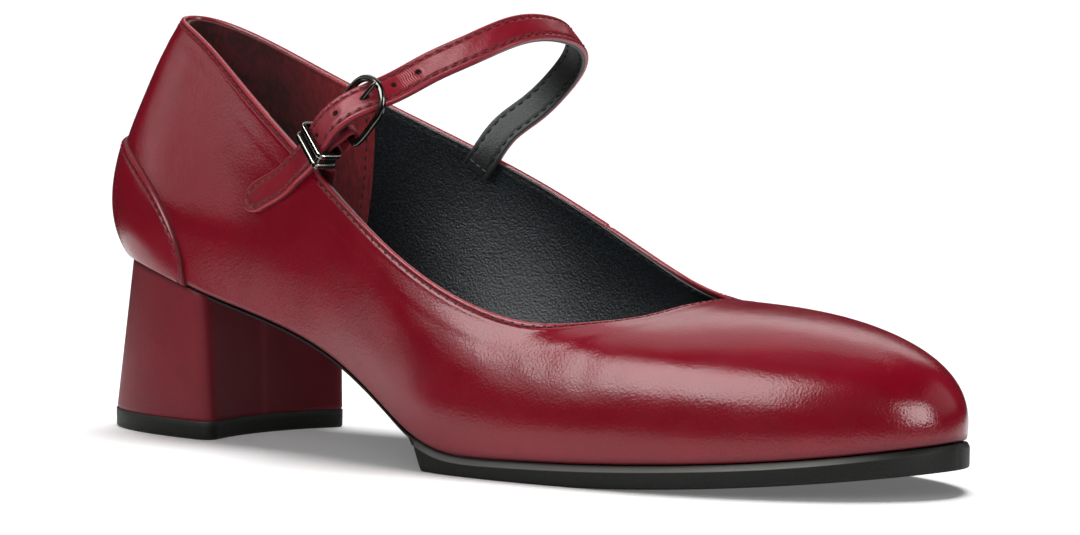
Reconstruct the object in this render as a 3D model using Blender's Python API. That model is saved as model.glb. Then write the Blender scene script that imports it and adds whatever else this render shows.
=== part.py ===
"""A right low-heeled court shoe with one instep strap, at women's size 38.

The shoe stands on +Z up. +X runs towards the toe, -Y is the outer (lateral) side.
The origin is on the floor under the middle of the heel. Tables are in millimetres
at the sample size, and the named sizes grade them.
"""
import math

import bpy
import numpy as np

MM = 0.001

# Sample size that the tables below are drawn at, in millimetres.
SAMPLE_LENGTH = 240.0
SAMPLE_BALL_WIDTH = 82.0
SAMPLE_HEEL = 45.2
SAMPLE_COLLAR = 106.0

# Driving sizes, in millimetres.
FEATHER_LENGTH = 240.0
BALL_WIDTH = 82.0
HEEL_HEIGHT = 45.2
COLLAR_HEIGHT = 106.0
WALL = 2.0
GAP = 0.3

LENGTH_GRADE = FEATHER_LENGTH / SAMPLE_LENGTH
WIDTH_GRADE = BALL_WIDTH / SAMPLE_BALL_WIDTH
HEEL_GRADE = HEEL_HEIGHT / SAMPLE_HEEL
COLLAR_GRADE = COLLAR_HEIGHT / SAMPLE_COLLAR

# Feather line as (x, z): its height above the floor, along the shoe.
PROFILE = (
    (-21, 45.2),
    (-8, 43.6),
    (20, 36.7),
    (50, 29.2),
    (65, 23.6),
    (80, 15.5),
    (92, 8.7),
    (103, 5.4),
    (118, 4.8),
    (145, 5.6),
    (175, 7.4),
    (200, 9.8),
    (219, 12.4),
)

# One rib of the upper per row, round the shoe from the back seam by the outer side.
# foot is its foot on the feather line, rim its end on the topline; belly and crown
# are the pulls that round it above the foot and below the rim.
RIB_COLUMNS = ("foot_x", "foot_y", "rim_x", "rim_y", "rim_z",
               "belly_out", "belly_up", "crown_out", "crown_down")
RIBS = (
    (-20.5, 0.0, -9.5, 0.0, 106.0, 13.0, 14.0, 13.5, 24.0),
    (-15.5, -14.5, -5.5, -6.3, 104.7, 11.0, 15.0, 12.0, 25.0),
    (-1.0, -23.7, 7.5, -12.0, 99.0, 7.0, 16.0, 9.0, 26.0),
    (20.0, -27.0, 28.0, -19.8, 86.8, 4.0, 17.0, 5.0, 20.0),
    (48.0, -29.3, 52.0, -29.3, 73.7, 3.0, 15.0, 3.0, 15.0),
    (76.0, -34.0, 78.0, -37.2, 58.1, 3.5, 14.0, 2.0, 12.0),
    (104.0, -40.0, 101.0, -38.5, 44.8, 4.0, 13.0, 3.5, 12.0),
    (131.0, -41.0, 122.0, -36.0, 37.7, 4.0, 12.0, 5.5, 9.0),
    (160.0, -37.5, 136.5, -29.0, 37.2, 4.5, 14.0, 13.0, 4.0),
    (189.0, -29.0, 145.5, -18.5, 38.4, 4.5, 17.0, 26.0, 2.0),
    (210.0, -15.5, 149.7, -8.5, 40.3, 4.0, 20.0, 36.0, 0.5),
    (219.5, 1.5, 150.7, 1.5, 41.0, 4.0, 21.0, 40.0, 0.0),
    (211.5, 18.0, 149.0, 11.5, 40.8, 4.0, 20.0, 36.0, 0.5),
    (190.0, 29.5, 144.5, 21.5, 39.7, 4.5, 17.0, 27.0, 2.0),
    (160.0, 36.0, 135.0, 31.0, 40.2, 4.5, 14.0, 14.0, 4.0),
    (131.0, 37.0, 120.5, 36.6, 43.9, 4.0, 13.0, 5.0, 9.0),
    (103.0, 32.5, 99.0, 36.8, 54.5, 5.0, 14.0, 3.0, 12.0),
    (76.0, 26.5, 77.0, 35.2, 65.5, 6.0, 16.0, 2.5, 14.0),
    (48.0, 24.5, 52.0, 28.8, 77.3, 5.0, 18.0, 3.0, 16.0),
    (20.0, 25.5, 28.0, 20.4, 88.9, 4.5, 18.0, 5.0, 20.0),
    (-1.0, 23.0, 7.5, 12.2, 99.8, 7.0, 16.0, 9.0, 26.0),
    (-15.5, 14.0, -5.5, 6.2, 105.2, 11.0, 15.0, 12.0, 25.0),
)
RIB_COUNT = len(RIBS)
TOE_RIB = 11
STEPS_ROUND = 88
STEPS_UP = 13
FOOT_BLEND = 0.12

# Level feather line in plan, as steps round the shoe.
OUTLINE_STEPS = 440
END_INSET = 0.12

# Heel counter laid over the back of the upper.
COUNTER_SPREAD = 2.72
COUNTER_RISE = 0.55
COUNTER_ARCH = 2.5
COUNTER_THICK = 0.7
COUNTER_GAP = 0.38
COUNTER_TURN = 84.0
COUNTER_FOOT = 0.02
COUNTER_STEPS_ACROSS = 33
COUNTER_STEPS_UP = 10

# Outsole and insole.
WAIST_SOLE = 1.0
WAIST_LEDGE = -0.6
SOLE_LEDGE = 0.8
SOLE_BEVEL = 1.4
FOOT_BEVEL = 0.5
STEP_START = 94.0
STEP_RUN = 3.5
FLAT_END = 142.0
TOE_SPRING = 6.3
SPRING_POWER = 1.5
INSOLE_THICK = 2.2
INSOLE_LIFT = 0.15
INSOLE_BEVEL = 0.3
OUTSOLE_STEPS = 46
INSOLE_STEPS = 30

# Strips of the outsole and insole: places across, the share of the steps that run
# evenly with the share of the length they cover, and the largest shares of the
# thickness that the edge cuts may take.
DECK_ACROSS = (-1.0, -0.6, -0.2, 0.2, 0.6, 1.0)
EVEN_STEPS = 0.78
EVEN_LENGTH = 0.86
SCOOP_LENGTH = 0.12
TOP_CUT_SHARE = 0.4
FOOT_CUT_SHARE = 0.2

# Heel.
BREAST_OUTER = 19.0
BREAST_INNER = 24.0
BREAST_SCOOP = 4.5
BREAST_CORNER = 5.5
HEEL_FLARE_BACK = 7.6
HEEL_FLARE_FRONT = 2.0
HEEL_BASE_NARROWING = 0.93
HEEL_INSET = 0.2
HEEL_RINGS = (0.0, 0.06, 0.35, 0.7, 1.0)
HEEL_DISH = 1.0
HEEL_STEPS_ROUND = 25
HEEL_STEPS_BREAST = 7
TOP_PIECE = 4.7
TOP_PIECE_EDGE = 0.5
TOP_PIECE_EDGE_INSET = 0.018

# Strap: its base inside the inner rim and its tail on the outer quarter are laid on
# the upper as (rib, rise, lift of the centre line); the loop between them is free,
# as (x, y, z) and the way that its front edge points.
STRAP_WIDTH = 8.0
STRAP_THICK = 2.0
STRAP_CORNER = 0.45
STRAP_STEPS = 62
BASE = (
    (17.63, 0.89, -3.7),
    (17.55, 0.98, -3.7),
)
STRAP = (
    (68.5, 31.8, 78.0, 0.68, 0.00, -0.73),
    (74.0, 36.0, 83.5, 0.68, 0.00, -0.73),
    (80.5, 37.8, 89.8, 0.68, 0.00, -0.73),
    (88.0, 34.8, 96.2, 0.68, 0.00, -0.73),
    (93.6, 27.0, 101.2, 0.68, 0.00, -0.73),
    (96.2, 15.0, 104.1, 0.68, 0.00, -0.73),
    (95.2, 0.0, 103.8, 0.68, 0.00, -0.73),
    (89.5, -10.5, 99.3, 0.68, -0.05, -0.73),
    (83.0, -17.5, 95.0, 0.67, -0.10, -0.73),
    (78.0, -25.0, 90.4, 0.66, -0.18, -0.72),
    (74.7, -31.4, 87.6, 0.64, -0.26, -0.72),
    (69.6, -35.4, 84.2, 0.62, -0.30, -0.72),
    (65.2, -36.8, 79.6, 0.62, -0.26, -0.74),
    (61.4, -36.2, 75.0, 0.60, -0.22, -0.76),
)
TAIL = (
    (4.08, 0.94, 1.9),
    (3.90, 0.81, 1.5),
    (3.66, 0.68, 1.45),
    (3.44, 0.56, 1.45),
)
TIP_LENGTH = 6.0
TIP_TURN = 84.0
TIP_STEPS = 6
TIP_HALF_WIDTH = 0.8

# Buckle, on the strap's own centre line, measured from the tail's tip.
KEEPER_FROM_TIP = 33.2
BAR_FROM_TIP = 41.0
FRAME_REACH = 13.2
BAR_DEPTH = 5.2
FAR_LIFT = 3.35
BAR_RADIUS = 0.8
FRAME_RADIUS = 0.88
FRAME_HALF_WIDTH = 6.0
FRAME_ARC = 0.46
FRAME_SQUARENESS = 0.85
FRAME_CORNER = ((0.0, -0.80), (0.06, -0.95), (0.20, -1.0))
FRAME_BAR = ((0.0, 0.4), (0.0, -0.4))
CHAPE_THICK = 1.0
CHAPE_GAP = 0.7
CHAPE_RIB = 4.28
CHAPE_RISES = (0.82, 0.91, 1.0)
CHAPE_CORNER = 0.25
CHAPE_INSET = 0.2
CHAPE_OVER_RIM = 1.0
CHAPE_FLAP = (2.4, 4.4)
CHAPE_STEPS = 15
PRONG_RADIUS = 0.6
PRONG_PAST = 1.0
PRONG_SLOT = 2.4
PRONG_SLOT_BACK = 1.2
PRONG_SLOT_AHEAD = 5.0
PRONG_SLOT_HALF_HEIGHT = 4.0
PRONG_HOLE = 0.95
PRONG_HOLE_REACH = 4.5
KEEPER_LENGTH = 4.6
KEEPER_BAND = 1.0
KEEPER_ROOM = 0.95
KEEPER_EDGE = 0.25
KEEPER_SIDE = 0.8
GROOVE_TOP = 0.9
GROOVE_FLOOR = 0.6
GROOVE_LEVEL = 0.55

MATERIALS = {
    # name: (colour, roughness, metallic)
    "red_leather": ((0.27, 0.008, 0.018), 0.38, 0.0),
    "heel_leather": ((0.25, 0.008, 0.017), 0.38, 0.0),
    "black_rubber": ((0.018, 0.018, 0.019), 0.6, 0.0),
    "black_lining": ((0.02, 0.02, 0.022), 0.55, 0.0),
    "gunmetal": ((0.16, 0.15, 0.14), 0.25, 1.0),
}


def clear_scene():
    for item in list(bpy.data.objects):
        bpy.data.objects.remove(item, do_unlink=True)


def material(name):
    found = bpy.data.materials.get(name)
    if found:
        return found
    colour, roughness, metallic = MATERIALS[name]
    made = bpy.data.materials.new(name)
    made.use_nodes = True
    shader = made.node_tree.nodes["Principled BSDF"]
    shader.inputs["Base Color"].default_value = (*colour, 1.0)
    shader.inputs["Roughness"].default_value = roughness
    shader.inputs["Metallic"].default_value = metallic
    return made


def add_solid(name, vertices, faces, slot, sharp_angle=40.0):
    """Put a closed mesh, given in millimetres, into the scene as one object."""
    mesh = bpy.data.meshes.new(name)
    points = [tuple(float(value) * MM for value in vertex) for vertex in vertices]
    mesh.from_pydata(points, [], [tuple(int(i) for i in face) for face in faces])
    mesh.validate()
    mesh.shade_smooth()
    mesh.set_sharp_from_angle(angle=math.radians(sharp_angle))
    solid = bpy.data.objects.new(name, mesh)
    bpy.context.scene.collection.objects.link(solid)
    mesh.materials.append(material(slot))
    return solid


def ring_spline(values, at):
    """Smooth closed curve through evenly spaced values, read at the parameters."""
    values = np.asarray(values, float)
    count = len(values)
    system = 4.0 * np.eye(count)
    system += np.roll(np.eye(count), 1, axis=0) + np.roll(np.eye(count), -1, axis=0)
    pull = 3.0 * (np.roll(values, -1, axis=0) - np.roll(values, 1, axis=0))
    slopes = np.linalg.solve(system, pull)
    at = np.mod(at, count)
    first = np.floor(at).astype(int) % count
    return hermite(values[first], values[(first + 1) % count], slopes[first],
                   slopes[(first + 1) % count], at - np.floor(at))


def open_spline(knots, values, at):
    """Smooth open curve through values at rising knots, straight past its ends."""
    knots = np.asarray(knots, float)
    values = np.asarray(values, float)
    steps = np.diff(knots)
    count = len(knots)
    system = np.zeros((count, count))
    pull = np.zeros((count,) + values.shape[1:])
    grades = (np.diff(values, axis=0).T / steps).T
    for i in range(1, count - 1):
        system[i, i - 1] = steps[i]
        system[i, i] = 2.0 * (steps[i - 1] + steps[i])
        system[i, i + 1] = steps[i - 1]
        pull[i] = 3.0 * (steps[i] * grades[i - 1] + steps[i - 1] * grades[i])
    system[0, :2] = (2.0, 1.0)
    system[-1, -2:] = (1.0, 2.0)
    pull[0] = 3.0 * grades[0]
    pull[-1] = 3.0 * grades[-1]
    slopes = np.linalg.solve(system, pull)
    at = np.asarray(at, float)
    first = np.clip(np.searchsorted(knots, at, side="right") - 1, 0, count - 2)
    step = steps[first]
    inside = np.clip(at, knots[0], knots[-1])
    part = (inside - knots[first]) / step
    wide = step.reshape(step.shape + (1,) * (values.ndim - 1))
    curve = hermite(values[first], values[first + 1], slopes[first] * wide,
                    slopes[first + 1] * wide, part)
    past = (at - inside).reshape(wide.shape)
    end_slope = np.where(past < 0, slopes[0], slopes[-1])
    return curve + past * end_slope


def hermite(start, end, start_slope, end_slope, part):
    part = np.asarray(part).reshape(np.shape(part) + (1,) * (np.ndim(start) - np.ndim(part)))
    square = part * part
    cube = square * part
    return ((2 * cube - 3 * square + 1) * start + (cube - 2 * square + part) * start_slope
            + (3 * square - 2 * cube) * end + (cube - square) * end_slope)


def seat_height(x):
    """Height of the feather line above the floor at a place along the shoe."""
    rows = np.array(PROFILE, float)
    return open_spline(rows[:, 0] * LENGTH_GRADE, rows[:, 1] * HEEL_GRADE, x)


def rib_values(at):
    """All rib columns, graded, read round the shoe at rib numbers."""
    rows = np.array(RIBS, float)
    read = ring_spline(rows, at)
    columns = {name: read[..., i] for i, name in enumerate(RIB_COLUMNS)}
    for name in ("foot_x", "rim_x"):
        columns[name] = columns[name] * LENGTH_GRADE
    for name in ("foot_y", "rim_y"):
        columns[name] = columns[name] * WIDTH_GRADE
    columns["rim_z"] = columns["rim_z"] * COLLAR_GRADE
    return columns


def outward(x_of, y_of, at):
    """Level outward normal of a closed line round the shoe."""
    small = 0.02
    along_x = x_of(at + small) - x_of(at - small)
    along_y = y_of(at + small) - y_of(at - small)
    length = np.hypot(along_x, along_y)
    return np.stack([along_y / length, -along_x / length], axis=-1)


def foot_normal(at):
    return outward(lambda t: rib_values(t)["foot_x"], lambda t: rib_values(t)["foot_y"], at)


def rim_normal(at):
    return outward(lambda t: rib_values(t)["rim_x"], lambda t: rib_values(t)["rim_y"], at)


def upper_surface(at, rise):
    """Point of the upper's outer face: a cubic from the feather line to the rim.

    The first inner pull stands out and up from the foot, the second stands out and
    down from the rim.
    """
    at, rise = np.broadcast_arrays(np.asarray(at, float), np.asarray(rise, float))
    value = rib_values(at)
    foot_out = foot_normal(at)
    rim_out = rim_normal(at)
    foot = np.stack([value["foot_x"], value["foot_y"], seat_height(value["foot_x"])], axis=-1)
    rim = np.stack([value["rim_x"], value["rim_y"], value["rim_z"]], axis=-1)
    belly = foot.copy()
    belly[..., :2] += value["belly_out"][..., None] * foot_out
    belly[..., 2] += value["belly_up"]
    crown = rim.copy()
    crown[..., :2] += value["crown_out"][..., None] * rim_out
    crown[..., 2] -= value["crown_down"]
    part = rise[..., None]
    rest = 1.0 - part
    return (rest ** 3 * foot + 3 * rest ** 2 * part * belly
            + 3 * rest * part ** 2 * crown + part ** 3 * rim)


def upper_normal(at, rise):
    """Outward normal of the upper's outer face."""
    at, rise = np.broadcast_arrays(np.asarray(at, float), np.asarray(rise, float))
    small = 0.01
    low = np.clip(rise - small, 0.0, 1.0)
    high = np.clip(rise + small, 0.0, 1.0)
    round_way = upper_surface(at + small, rise) - upper_surface(at - small, rise)
    up_way = upper_surface(at, high) - upper_surface(at, low)
    normal = np.cross(round_way, up_way)
    return normal / np.linalg.norm(normal, axis=-1, keepdims=True)


def upper_offset(at, rise, lift):
    """Point of the upper's face lifted along its normal, level along the foot."""
    at, rise = np.broadcast_arrays(np.asarray(at, float), np.asarray(rise, float))
    normal = upper_normal(at, rise)
    level = normal.copy()
    level[..., 2] = 0.0
    level /= np.linalg.norm(level, axis=-1, keepdims=True)
    near_foot = np.clip(1.0 - rise / FOOT_BLEND, 0.0, 1.0)[..., None]
    mixed = near_foot * level + (1.0 - near_foot) * normal
    mixed /= np.linalg.norm(mixed, axis=-1, keepdims=True)
    return upper_surface(at, rise) + np.asarray(lift, float)[..., None] * mixed


def grid_faces(rows, columns, offset=0, ring=True, flip=False):
    """Quads of a grid stored row by row; ring joins the last column to the first."""
    faces = []
    last = columns if ring else columns - 1
    for row in range(rows - 1):
        for column in range(last):
            after = (column + 1) % columns
            a = offset + row * columns + column
            b = offset + row * columns + after
            c = offset + (row + 1) * columns + after
            d = offset + (row + 1) * columns + column
            faces.append((a, d, c, b) if flip else (a, b, c, d))
    return faces


def build_upper():
    round_steps = np.arange(STEPS_ROUND) * RIB_COUNT / STEPS_ROUND
    up_steps = np.linspace(0.0, 1.0, STEPS_UP)
    at, rise = np.meshgrid(round_steps, up_steps)
    outer = upper_offset(at, rise, np.zeros_like(at)).reshape(-1, 3)
    inner = upper_offset(at, rise, np.full_like(at, -WALL)).reshape(-1, 3)
    inner[:STEPS_ROUND, 2] = seat_height(inner[:STEPS_ROUND, 0])
    size = len(outer)
    faces = grid_faces(STEPS_UP, STEPS_ROUND)
    faces += grid_faces(STEPS_UP, STEPS_ROUND, offset=size, flip=True)
    top = (STEPS_UP - 1) * STEPS_ROUND
    for i in range(STEPS_ROUND):
        after = (i + 1) % STEPS_ROUND
        faces.append((top + i, top + after, size + top + after, size + top + i))
        faces.append((after, i, size + i, size + after))
    add_solid("upper", np.vstack([outer, inner]), faces, "red_leather")


def build_counter():
    """Heel counter: the form between two lifts of the upper's face, under an arch."""
    across_steps = COUNTER_STEPS_ACROSS
    up_steps = COUNTER_STEPS_UP
    turn = np.radians(np.linspace(-COUNTER_TURN, COUNTER_TURN, across_steps))
    spread = np.sin(turn) * COUNTER_SPREAD
    arch = (1.0 - np.abs(np.sin(turn)) ** COUNTER_ARCH) ** (1.0 / COUNTER_ARCH) * COUNTER_RISE
    share = np.linspace(COUNTER_FOOT, 1.0, up_steps)
    at = np.broadcast_to(spread, (up_steps, across_steps))
    rise = share[:, None] * arch[None, :]
    low = upper_offset(at, rise, np.full(at.shape, COUNTER_GAP)).reshape(-1, 3)
    high = upper_offset(at, rise, np.full(at.shape, COUNTER_GAP + COUNTER_THICK)).reshape(-1, 3)
    size = len(low)
    faces = grid_faces(up_steps, across_steps, offset=size, ring=False)
    faces += grid_faces(up_steps, across_steps, ring=False, flip=True)
    last = (up_steps - 1) * across_steps
    for i in range(across_steps - 1):
        faces.append((i, i + 1, size + i + 1, size + i))
        faces.append((last + i + 1, last + i, size + last + i, size + last + i + 1))
    for row in range(up_steps - 1):
        start = row * across_steps
        end = start + across_steps
        faces.append((end, start, size + start, size + end))
        faces.append((end - 1, end + across_steps - 1, size + end + across_steps - 1,
                      size + end - 1))
    add_solid("heel_counter", np.vstack([low, high]), faces, "red_leather")


def feather_outline(offset):
    """Feather line in plan, moved outwards, as its outer and inner side."""
    at = np.linspace(0.0, RIB_COUNT, OUTLINE_STEPS + 1)
    value = rib_values(at)
    normal = foot_normal(at)
    if callable(offset):
        offset = offset(value["foot_x"])
    x = value["foot_x"] + offset * normal[:, 0]
    y = value["foot_y"] + offset * normal[:, 1]
    tip = int(np.argmax(x))
    back = int(np.argmin(x[:-1]))
    if back > tip:
        back -= OUTLINE_STEPS
    outer = np.arange(back, tip + 1) % OUTLINE_STEPS
    inner = np.arange(tip, back + OUTLINE_STEPS + 1) % OUTLINE_STEPS
    outer_side = np.stack([x[outer], y[outer]], axis=1)
    inner_side = np.stack([x[inner], y[inner]], axis=1)[::-1]
    return outer_side, inner_side


def deck_run(steps, round_back):
    """Shares of the length at the steps: closer towards the toe, or towards both ends."""
    share = np.linspace(0.0, 1.0, steps)
    if round_back:
        return 0.5 - 0.5 * np.cos(share * math.pi)
    even = share / EVEN_STEPS * EVEN_LENGTH
    late = (share - EVEN_STEPS) / (1.0 - EVEN_STEPS)
    closing = EVEN_LENGTH + (1.0 - EVEN_LENGTH) * np.sin(late * math.pi / 2)
    return np.where(share < EVEN_STEPS, even, closing)


def deck_ring(outer_point, inner_point, drop, top_of, bottom_of, bevels):
    """Ring round one strip: over the top, down the inner edge, back under, up the outer."""
    centre = (inner_point + outer_point) / 2
    half = (inner_point - outer_point) / 2
    width = np.hypot(*half) * 2
    thick = top_of(centre[0]) - bottom_of(centre[0])
    top_cut = min(bevels[0], TOP_CUT_SHARE * thick)
    foot_cut = min(bevels[1], FOOT_CUT_SHARE * thick)

    def place(where, inset):
        squeeze = max(0.05, 1.0 - 2 * inset / width)
        spot = centre + half * where * squeeze
        return np.array([spot[0] - drop * (1 - where ** 2), spot[1]])

    top = [place(where, top_cut) for where in DECK_ACROSS]
    under = [place(where, foot_cut) for where in DECK_ACROSS[::-1]]
    inner_edge = place(1.0, 0.0)
    outer_edge = place(-1.0, 0.0)
    ring = [(*spot, float(top_of(spot[0]))) for spot in top]
    ring.append((*inner_edge, float(top_of(inner_edge[0]) - top_cut)))
    ring.append((*inner_edge, float(bottom_of(inner_edge[0]) + foot_cut)))
    ring.extend((*spot, float(bottom_of(spot[0]))) for spot in under)
    ring.append((*outer_edge, float(bottom_of(outer_edge[0]) + foot_cut)))
    ring.append((*outer_edge, float(top_of(outer_edge[0]) - top_cut)))
    return ring


def decked(name, start, run, offset, scoop, top_of, bottom_of, bevels, slot):
    """Sole-like solid: strips across the shoe between its outer and inner edge.

    start holds the first station on the outer and on the inner side; scoop bends
    the first strips backwards in the middle, and fades along the shoe.
    """
    outer_side, inner_side = feather_outline(offset)
    tip = outer_side[-1, 0] - END_INSET
    outer_x = start[0] + (tip - start[0]) * run
    inner_x = start[1] + (tip - start[1]) * run
    outer_y = np.interp(outer_x, outer_side[:, 0], outer_side[:, 1])
    inner_y = np.interp(inner_x, inner_side[:, 0], inner_side[:, 1])
    drops = scoop * np.clip(1.0 - run / SCOOP_LENGTH, 0.0, 1.0)
    steps = len(run)
    vertices = []
    for i in range(steps):
        outer_point = np.array([outer_x[i], outer_y[i]])
        inner_point = np.array([inner_x[i], inner_y[i]])
        vertices.extend(deck_ring(outer_point, inner_point, drops[i], top_of, bottom_of,
                                  bevels))
    deck = len(DECK_ACROSS)
    size = 2 * deck + 4
    faces = grid_faces(steps, size, flip=True)
    for first, flip in ((0, False), ((steps - 1) * size, True)):
        for i in range(deck - 1):
            low = first + size - 3 - i
            quad = [first + i, first + i + 1, low - 1, low]
            faces.append(quad[::-1] if flip else quad)
        for quad in ([first, first + size - 3, first + size - 2, first + size - 1],
                     [first + deck - 1, first + deck, first + deck + 1, first + deck + 2]):
            faces.append(quad[::-1] if flip else quad)
    add_solid(name, vertices, faces, slot, sharp_angle=30.0)


def tread_height(x):
    """Underside of the forefoot: flat on the floor, then rising to the toe."""
    tip = RIBS[TOE_RIB][0] * LENGTH_GRADE + SOLE_LEDGE
    reach = tip - FLAT_END
    share = np.clip((x - FLAT_END) / reach, 0.0, 1.0)
    return TOE_SPRING * share ** SPRING_POWER


def sole_ledge(x):
    """How far the outsole stands out of the feather line: drawn in along the waist."""
    share = np.clip((x - STEP_START + 10.0) / 20.0, 0.0, 1.0)
    return WAIST_LEDGE + (SOLE_LEDGE - WAIST_LEDGE) * share


def build_outsole():
    def top_of(x):
        return seat_height(x) - GAP

    def bottom_of(x):
        waist = seat_height(x) - GAP - WAIST_SOLE
        share = np.clip((x - STEP_START) / STEP_RUN, 0.0, 1.0)
        return (1.0 - share) * waist + share * tread_height(x)

    start = (BREAST_OUTER + GAP, BREAST_INNER + GAP)
    run = deck_run(OUTSOLE_STEPS, round_back=False)
    decked("outsole", start, run, sole_ledge, BREAST_SCOOP, top_of, bottom_of,
           (SOLE_BEVEL, FOOT_BEVEL), "black_rubber")


def build_insole():
    def top_of(x):
        return seat_height(x) + INSOLE_THICK

    def bottom_of(x):
        return seat_height(x) + INSOLE_LIFT

    inset = -WALL - GAP
    back = feather_outline(inset)[0][0, 0] + END_INSET
    run = deck_run(INSOLE_STEPS, round_back=True)
    decked("insole", (back, back), run, inset, 0.0, top_of, bottom_of,
           (INSOLE_BEVEL, INSOLE_BEVEL), "black_lining")


def heel_outline(offset):
    """Feather line round the back from breast corner to corner, and the breast arc."""
    outer_side, inner_side = feather_outline(offset)
    outer = outer_side[outer_side[:, 0] < BREAST_OUTER][::-1]
    inner = inner_side[inner_side[:, 0] < BREAST_INNER]
    line = np.vstack([outer, inner[1:]])
    step = np.hypot(*np.diff(line, axis=0).T)
    run = np.concatenate([[0.0], np.cumsum(step)])
    wanted = np.linspace(BREAST_CORNER, run[-1] - BREAST_CORNER, HEEL_STEPS_ROUND)
    round_back = np.stack([np.interp(wanted, run, line[:, 0]),
                           np.interp(wanted, run, line[:, 1])], axis=1)
    first = line[0]
    last = line[-1]
    where = np.linspace(-1.0, 1.0, HEEL_STEPS_BREAST + 2)[1:-1]
    arc = (last + first) / 2 + (first - last)[None, :] / 2 * where[:, None]
    arc[:, 0] -= BREAST_SCOOP * (1.0 - where ** 2)
    corners = []
    for before, corner, after in ((arc[-1], first, round_back[0]),
                                  (round_back[-1], last, arc[0])):
        to_before = (before - corner) / np.linalg.norm(before - corner) * BREAST_CORNER
        to_after = (after - corner) / np.linalg.norm(after - corner) * BREAST_CORNER
        part = np.array([0.0, 0.25, 0.5, 0.75])[:, None]
        corners.append(corner + (1 - part) ** 2 * to_before + part ** 2 * to_after)
    return np.vstack([corners[0], round_back, corners[1], arc])


def heel_base(outline):
    """The heel's plan at the floor: longer at both ends and a little narrower."""
    x = outline[:, 0]
    share = (x - x.min()) / (x.max() - x.min())
    moved = outline.copy()
    moved[:, 0] = x - HEEL_FLARE_BACK * (1 - share) + HEEL_FLARE_FRONT * share
    moved[:, 1] = outline[:, 1] * HEEL_BASE_NARROWING
    return moved


def capped_rings(name, rings, slot, dish):
    """Closed form through rings, from the top down; dish lowers the top's middle."""
    count = len(rings[0])
    vertices = [tuple(point) for ring in rings for point in ring]
    faces = grid_faces(len(rings), count, flip=True)
    for ring, low in ((rings[0], False), (rings[-1], True)):
        middle = np.mean(ring, axis=0)
        if not low:
            middle[2] -= dish
        vertices.append(tuple(middle))
        centre = len(vertices) - 1
        start = (len(rings) - 1) * count if low else 0
        for i in range(count):
            after = (i + 1) % count
            pair = (start + after, start + i) if low else (start + i, start + after)
            faces.append((*pair, centre))
    solid = add_solid(name, vertices, faces, slot)
    face_outwards(solid)


def build_heel():
    outline = heel_outline(-HEEL_INSET)
    base = heel_base(outline)
    top = np.column_stack([outline, seat_height(outline[:, 0]) - GAP])
    bottom = np.column_stack([base, np.full(len(base), TOP_PIECE + GAP)])
    rings = [top + (bottom - top) * share for share in HEEL_RINGS]
    capped_rings("heel_block", rings, "heel_leather", HEEL_DISH)


def build_top_piece():
    base = heel_base(heel_outline(0.0))
    inset = base + (base.mean(axis=0) - base) * TOP_PIECE_EDGE_INSET
    rings = [
        np.column_stack([base, np.full(len(base), TOP_PIECE)]),
        np.column_stack([base, np.full(len(base), TOP_PIECE_EDGE)]),
        np.column_stack([inset, np.zeros(len(base))]),
    ]
    capped_rings("top_piece", rings, "black_rubber", 0.0)


def laid_rows(rows):
    """Points and outward ways of strap rows that are laid on the upper."""
    table = np.array(rows, float)
    points = upper_offset(table[:, 0], table[:, 1], table[:, 2])
    return points, upper_normal(table[:, 0], table[:, 1])


def strap_line(count=500):
    """Strap's centre line by length, with the way that its front edge points."""
    rows = np.array(STRAP, float)
    loop = rows[:, :3] * np.array([LENGTH_GRADE, WIDTH_GRADE, COLLAR_GRADE])
    base, base_faces = laid_rows(BASE)
    tail, tail_faces = laid_rows(TAIL)
    points = np.vstack([base, loop, tail])
    along = np.gradient(points, axis=0)
    base_fronts = np.cross(base_faces, along[:len(base)])
    tail_fronts = np.cross(tail_faces, along[-len(tail):])
    fronts = np.vstack([base_fronts, rows[:, 3:], tail_fronts])
    fronts /= np.linalg.norm(fronts, axis=1, keepdims=True)
    knots = np.concatenate([[0.0], np.cumsum(np.linalg.norm(np.diff(points, axis=0), axis=1))])
    fine = np.linspace(0.0, knots[-1], count)
    line = open_spline(knots, points, fine)
    front = open_spline(knots, fronts, fine)
    run = np.concatenate([[0.0], np.cumsum(np.linalg.norm(np.diff(line, axis=0), axis=1))])
    return run, line, front


def strap_frame(lengths):
    """Point, tangent, front edge way and outer face way at lengths along the strap."""
    run, line, front = strap_line()
    read = [np.stack([np.interp(lengths, run, part[:, i]) for i in range(3)], axis=-1)
            for part in (line, front, np.gradient(line, run, axis=0))]
    point, front, tangent = read
    tangent = tangent / np.linalg.norm(tangent, axis=-1, keepdims=True)
    front = front - (front * tangent).sum(-1, keepdims=True) * tangent
    front = front / np.linalg.norm(front, axis=-1, keepdims=True)
    return point, tangent, front, np.cross(tangent, front)


def swept(name, centres, wides, faces_out, profiles, slot, ring=False, sharp_angle=35.0):
    """Closed form that carries a profile (across, out) along a line of frames."""
    count = len(profiles[0])
    vertices = []
    for centre, wide, out, profile in zip(centres, wides, faces_out, profiles):
        vertices.extend(centre + profile[:, :1] * wide + profile[:, 1:] * out)
    rows = len(centres)
    faces = grid_faces(rows, count)
    if ring:
        last = (rows - 1) * count
        for i in range(count):
            after = (i + 1) % count
            faces.append((last + i, last + after, after, i))
    else:
        faces.append(tuple(range(count))[::-1])
        faces.append(tuple((rows - 1) * count + i for i in range(count)))
    solid = add_solid(name, vertices, faces, slot, sharp_angle)
    face_outwards(solid)
    return solid


def face_outwards(solid):
    """Turn a closed mesh's faces outwards if its signed volume is negative."""
    mesh = solid.data
    volume = 0.0
    for polygon in mesh.polygons:
        corners = [mesh.vertices[i].co for i in polygon.vertices]
        for i in range(1, len(corners) - 1):
            volume += corners[0].dot(corners[i].cross(corners[i + 1]))
    if volume < 0.0:
        mesh.flip_normals()


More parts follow.
